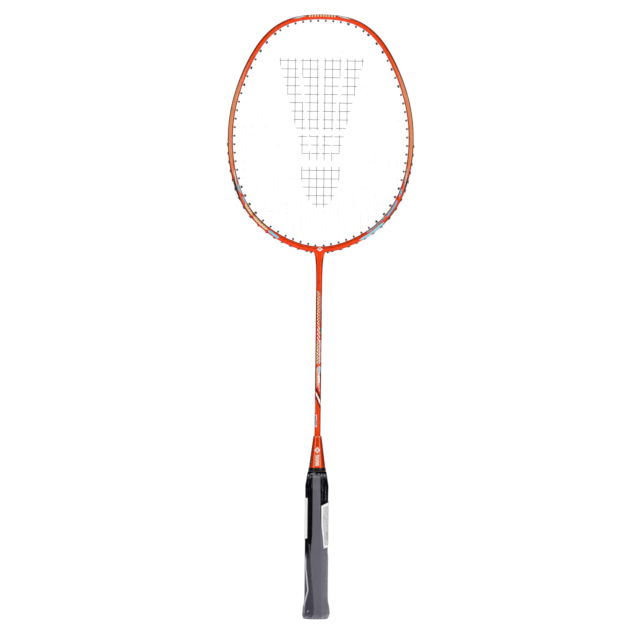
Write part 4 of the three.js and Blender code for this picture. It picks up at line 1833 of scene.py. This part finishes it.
@dataclass
class Handle:
    """The grip with its film and label, the cone and its collar, and the butt.

    The film's join, shine and side bulge are given by height, the label's edges by the share of its
    length, and the angle its right-hand edge starts at by height.
    """

    depth_share: float = 0.9
    grip_thickness: float = 1.3
    sides: int = 176
    corners: tuple[tuple[float, float], ...] = (
        (13.4, 0.3), (14.5, 2), (15.0, 5), (14.55, 11.5), (13.2, 18.5), (12.8, 26),
        (12.8, 134.4), (13.1, 148.4), (10.4, GRIP_TOP),
    )
    film_low: float = 1.2
    film_high: float = 162.6
    film_wall: float = 0.05
    film_lift: float = 0.22
    top_gather: float = 0.55
    film_join: Curve = ((2, 29, 72, 88, 163), (-1.2, -2.9, -6.6, -8.4, -9.8))
    film_shine: Curve = ((9, 18, 32, 57, 76), (-13.0, -12.1, -8.7, -11.3, -11.8))
    film_bulge: Curve = ((2, 10, 22, 78), (1.1, 1.1, 0.7, 0.6))
    label_low: Curve = ((0, 0.16, 1), (78.9, 81.0, 90.0))
    label_high: Curve = ((0, 0.16, 1), (126.6, 130.4, 135.0))
    label_start: Curve = ((79, 104, 127), (-51.5, -66.5, -67.9))
    label_end: float = 219.8

    def outline(self, out: float, low: float, high: float, step: float = 1.5) -> Array:
        """The grip's outside between two heights, moved out by a distance.

        Args:
            out: The distance.
            low: The lower height.
            high: The upper height.
            step: Gap between points.

        Returns:
            Radius and height pairs.
        """
        whole = fine_profile(list(self.corners), 0.5, 6)
        heights = np.linspace(low, high, max(2, round((high - low) / step) + 1))
        return np.stack([np.interp(heights, whole[:, 1], whole[:, 0]) + out, heights], -1)

    def grip(self) -> Piece:
        """Build the grip: an octagonal sleeve with soft corners, turned over at both ends.

        Returns:
            The grip.
        """
        outside = self.outline(0.0, 0.9, GRIP_TOP - 0.4)
        inside = self.outline(-self.grip_thickness, 0.9, GRIP_TOP - 0.4, 6)[::-1]
        low, high = outside[0], outside[-1]
        top = np.array([(high[0] - 0.2, 164.3), (high[0] - 0.65, GRIP_TOP), (high[0] - 1.1, 164.3)])
        foot = np.array([(low[0] - 1.1, 0.45), (low[0] - 0.65, 0.3), (low[0] - 0.2, 0.45)])
        rings = revolve(np.vstack([outside, top, inside, foot]), self.sides, 1.0, self.depth_share)
        return add_surface("grip_sleeve", rings, True, None, 50)

    def film(self) -> Piece:
        """Build the film: a thin sleeve that lies on the grip in shallow wrinkles.

        Its distance from the grip is a base plus seeded waves, stronger where it is gathered at
        both ends, and a low ridge follows the slanting join.

        Returns:
            The film.
        """
        outside = self.outline(0.0, self.film_low, self.film_high, 0.9)
        rings = revolve(outside, self.sides, 1.0, self.depth_share)
        angle = np.arctan2(rings[..., 1], rings[..., 0])
        height = rings[..., 2]
        gathered = 1 - smooth_step(height, 2.5, 6.0)
        gathered += self.top_gather * smooth_step(height, 155.5, 159.5)
        fine = ripple(angle * 26, height * 0.16, 7) * 0.5
        fine = fine + ripple(angle * 60, height * 0.5, 8) * 0.5
        broad = ripple(angle * 5, height * 0.09, 9)
        lift = self.film_lift + 0.05 * broad + gathered * 0.17 * fine
        join_x = np.interp(height, *self.film_join)
        front = rings[..., 1] < 0
        seam = np.exp(-((rings[..., 0] - join_x) / 0.35) ** 2) * front
        lift = np.clip(lift + 0.12 * seam, 0.06, 0.42)
        # The pocket marks where the film bulges low on the right side; the grey it gets in the
        # film's colour is a painted reflection.
        pocket = np.exp(-(angle / 0.5) ** 2) * (1 - smooth_step(height, 66, 78))
        pocket *= smooth_step(height, 1, 6)
        away = np.stack([rings[..., 0], rings[..., 1] / self.depth_share], -1)
        away /= np.linalg.norm(away, axis=-1, keepdims=True)
        bulge = pocket * np.interp(height, *self.film_bulge)
        outer, inner = rings.copy(), rings.copy()
        for sheet, distance in ((outer, lift), (inner, lift - self.film_wall)):
            sheet[..., :2] += away * distance[..., None]
            sheet[..., 0] += bulge
        both = np.concatenate([outer, inner[::-1]])
        # The shine is a painted highlight: a white line low on the left front and a short slanting
        # glint.
        shine_x = np.interp(height, *self.film_shine)
        shine = np.exp(-((rings[..., 0] - shine_x) / 0.62) ** 2) * front
        shine *= smooth_step(height, 10, 16) * (1 - smooth_step(height, 64, 74))
        glint = np.exp(-((height - 8.5 - 3.4 * (rings[..., 0] + 9) / 4) / 0.5) ** 2)
        shine += glint * (np.abs(rings[..., 0] + 8.6) < 0.9) * front
        fields = {"gathered": gathered, "shine": shine, "pocket": pocket}
        fields["seam"] = seam * (height < 84)
        fields = {key: np.concatenate([grid, grid[::-1]]) for key, grid in fields.items()}
        return add_surface("film_sleeve", both, True, fields, 80)

    def label(self) -> Piece:
        """Build the label: a thin strip wrapped over the right side and round the back.

        Its two long edges climb steadily from the right-hand end to the left-hand one.

        Returns:
            The label.
        """
        share = np.linspace(0, 1, 240)[:, None]
        levels = np.linspace(0, 1, 24)[None, :]
        low = np.interp(share, *self.label_low)
        high = np.interp(share, *self.label_high)
        heights = low + (high - low) * levels
        start = np.radians(np.interp(heights[:1], *self.label_start))
        angle = start + (math.radians(self.label_end) - start) * share
        reach = octagon_reach(angle)
        base = np.interp(heights, [26, 134.4, 148.4], [12.8, 12.8, 13.1])
        sheets = []
        for out in (0.5, 0.64):
            radius = base * reach + out
            x = radius * np.cos(angle)
            y = radius * np.sin(angle) * self.depth_share
            sheets.append(np.stack([x, y, heights], -1))
        rings = np.concatenate([sheets[1], sheets[0][:, ::-1]], axis=1)
        along = np.broadcast_to(share * LABEL_SPAN, heights.shape)
        fields = {"along": along, "height": heights - low}
        for key, grid in fields.items():
            fields[key] = np.concatenate([grid, grid[:, ::-1]], axis=1)
        return add_surface("wrapped_label", rings, False, fields, 50)

    def cone(self) -> Piece:
        """Build the cone: a thin turned shell with a rounded lip round the shaft.

        Returns:
            The cone.
        """
        low, high = span("cone_cap")
        foot, top = low[2], high[2]
        outside = fine_profile([(8.95, foot + 0.2), (8.95, foot + 6.5), (4.7, top - 0.9)], 0.6, 3)
        inside = np.array([
            (4.62, top - 0.5), (4.5, top - 0.15), (4.3, top), (3.95, top), (3.75, top - 0.2),
            (3.7, top - 0.6), (3.7, top - 6), (8.2, foot + 4.5), (8.2, foot + 0.2), (8.3, foot),
            (8.85, foot),
        ])
        rings = revolve(np.vstack([outside, inside]), 96)
        return add_surface("cone", rings, True, None, 50)

    def collar(self) -> Piece:
        """Build the collar: a band of tape that narrows upwards to a slightly torn edge.

        Returns:
            The collar.
        """
        low, high = span("collar_band")
        foot, top = low[2], high[2]
        section = [
            (9.35, foot + 0.1), (9.5, foot), (9.85, foot), (10.0, foot + 0.2),
            (9.95, foot + 1.4), (9.86, foot + 1.55), (9.7, top - 1.55), (9.72, top - 1.4),
            (9.6, top - 0.2), (9.45, top), (9.4, top), (9.3, top - 0.1),
        ]
        rings = revolve(np.array(section), 180)
        angle = np.arctan2(rings[..., 1], rings[..., 0])
        torn = np.abs(ripple(angle * 22, angle * 0, 12)) * 0.45
        rings[..., 2] -= torn * smooth_step(rings[..., 2], top - 1.6, top - 0.3)
        return add_surface("collar", rings, True, None, 50)

    def butt(self) -> Piece:
        """Build the butt cap: an octagonal plate with a round pocket for the badge.

        Returns:
            The butt cap.
        """
        top = span("butt_cap")[1][2]
        side = self.sides
        outside = [(8.9, 0.0), (11.0, 0.0), (11.6, 0.15), (11.78, 0.55), (11.78, top), (6.0, top)]
        rings = revolve(np.array(outside), side, 1.0, self.depth_share)
        pocket = revolve(np.array([(7.8, 0.7), (8.3, 0.7), (8.3, 0.08), (8.4, 0.0)]), side)
        return add_surface("butt_plate", np.concatenate([pocket, rings]), False, None, 40)

    def badge(self) -> Piece:
        """Build the badge: a thin domed disc in the butt cap's pocket."""
        section = [(7.9, 0.38), (8.0, 0.3), (8.0, 0.08), (7.85, 0.0), (5.0, 0.0), (2.0, 0.0)]
        return add_surface("butt_badge_disc", revolve(np.array(section), 72))

    def build(self) -> None:
        """Build, dress and hand over everything below the shaft."""
        hand_over(self.grip(), "base_grip", GripFinish().material())
        hand_over(self.film(), "grip_film", FilmFinish().material())
        hand_over(self.label(), "care_label", LabelPaper().material())
        hand_over(self.cone(), "cone_cap", ConeLacquer().material())
        tape = Moulding("collar_tape", srgb(6, 5, 6), srgb(18, 16, 18), 0.3, 0.35, 0.1)
        hand_over(self.collar(), "collar_band", tape.material())
        rubber = Moulding("butt_plastic", srgb(24, 24, 26), srgb(50, 50, 54), 0.5)
        hand_over(self.butt(), "butt_cap", rubber.material())
        hand_over(self.badge(), "butt_badge", BadgePrint().material())
        dress(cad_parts["handle_core"], WoodFinish().material())


# ---- Studio --------------------------------------------------------------------------------


@dataclass
class Softbox:
    """A rectangular light that faces the racket."""

    name: str
    azimuth: float
    distance: float
    height: float
    width: float
    tall: float
    glow: float
    aim: float = 0.36

    def build(self) -> None:
        """Place the light; its power is pi times its area times its glow."""
        lamp = bpy.data.lights.new(self.name, "AREA")
        lamp.shape = "RECTANGLE"
        lamp.size, lamp.size_y = self.width, self.tall
        lamp.energy = self.glow * math.pi * self.width * self.tall
        light = bpy.data.objects.new(self.name, lamp)
        bpy.context.scene.collection.objects.link(light)
        turn = math.radians(self.azimuth)
        reach = self.distance
        place = Vector((math.sin(turn) * reach, -math.cos(turn) * reach, self.height))
        light.location = place
        light.rotation_euler = (place - Vector((0, 0, self.aim))).to_track_quat("Z", "Y").to_euler()


@dataclass
class Studio:
    """Camera, lights, white surroundings and floor."""

    lens: float = 200.0
    sensor: float = 36.0
    frame_side: float = 0.7094
    centre_x: float = -0.0014
    centre_z: float = 0.3364
    roll: float = 0.628
    floor_half: float = 2.5
    floor_level: float = -0.0003
    lights: tuple[Softbox, ...] = (
        Softbox("right_box", 46, 1.9, 0.45, 0.8, 1.6, 2.3),
        Softbox("left_box", -46, 1.9, 0.45, 0.75, 1.6, 1.9),
        Softbox("front_box", 0, 4.8, 0.42, 1.7, 1.5, 1.5),
        Softbox("top_box", 10, 1.0, 2.3, 1.8, 1.2, 1.4),
        Softbox("back_box", 180, 2.6, 1.2, 1.6, 1.2, 0.5),
    )

    def camera(self) -> None:
        """Place the camera square to the racket, rolled so that the crown leans a little right."""
        data = bpy.data.cameras.new("studio_camera")
        data.lens, data.sensor_width = self.lens, self.sensor
        camera = bpy.data.objects.new("studio_camera", data)
        bpy.context.scene.collection.objects.link(camera)
        distance = self.frame_side * self.lens / self.sensor
        camera.location = (self.centre_x, -distance, self.centre_z)
        camera.rotation_euler = (math.pi / 2, -math.radians(self.roll), 0)
        bpy.context.scene.camera = camera

    def surroundings(self) -> None:
        """Make a world that is white behind the racket and dimmer in its reflections."""
        world = bpy.data.worlds.new("white_room")
        world.use_nodes = True
        tree = world.node_tree
        seen = tree.nodes.new("ShaderNodeLightPath")
        background = tree.nodes["Background"]
        background.inputs["Color"].default_value = (1, 1, 1, 1)
        through = Field(tree, seen.outputs["Is Transmission Ray"])
        strength = Field(tree, seen.outputs["Is Camera Ray"]).high(through) * 0.88 + 0.16
        tree.links.new(strength.socket, background.inputs["Strength"])
        bpy.context.scene.world = world

    def floor(self) -> None:
        """Lay a plain white floor just under the butt."""
        half = self.floor_half
        mesh = bpy.data.meshes.new("floor")
        sides = ((-1, -1), (1, -1), (1, 1), (-1, 1))
        corners = [(x * half, y * half, self.floor_level) for x, y in sides]
        mesh.from_pydata(corners, [], [(0, 1, 2, 3)])
        floor = bpy.data.objects.new("floor", mesh)
        bpy.context.scene.collection.objects.link(floor)
        shade = Shade("floor_white")
        shade.set(Base_Color=(0.92, 0.92, 0.92), Roughness=0.9)
        shade.set(Emission_Color=(1.0, 1.0, 1.0), Emission_Strength=0.75)
        dress(floor, shade.material)

    def build(self) -> None:
        """Set up the whole studio."""
        bpy.context.scene.view_settings.view_transform = "Standard"
        self.camera()
        self.surroundings()
        self.floor()
        for light in self.lights:
            light.build()


def main() -> None:
    """Build the studio and every sub-assembly in order."""
    Studio().build()
    for part in (Head(StringPlan()), Shaft(), Handle()):
        part.build()
        log.info("%s is built", type(part).__name__)


if __name__ == "__main__":
    main()
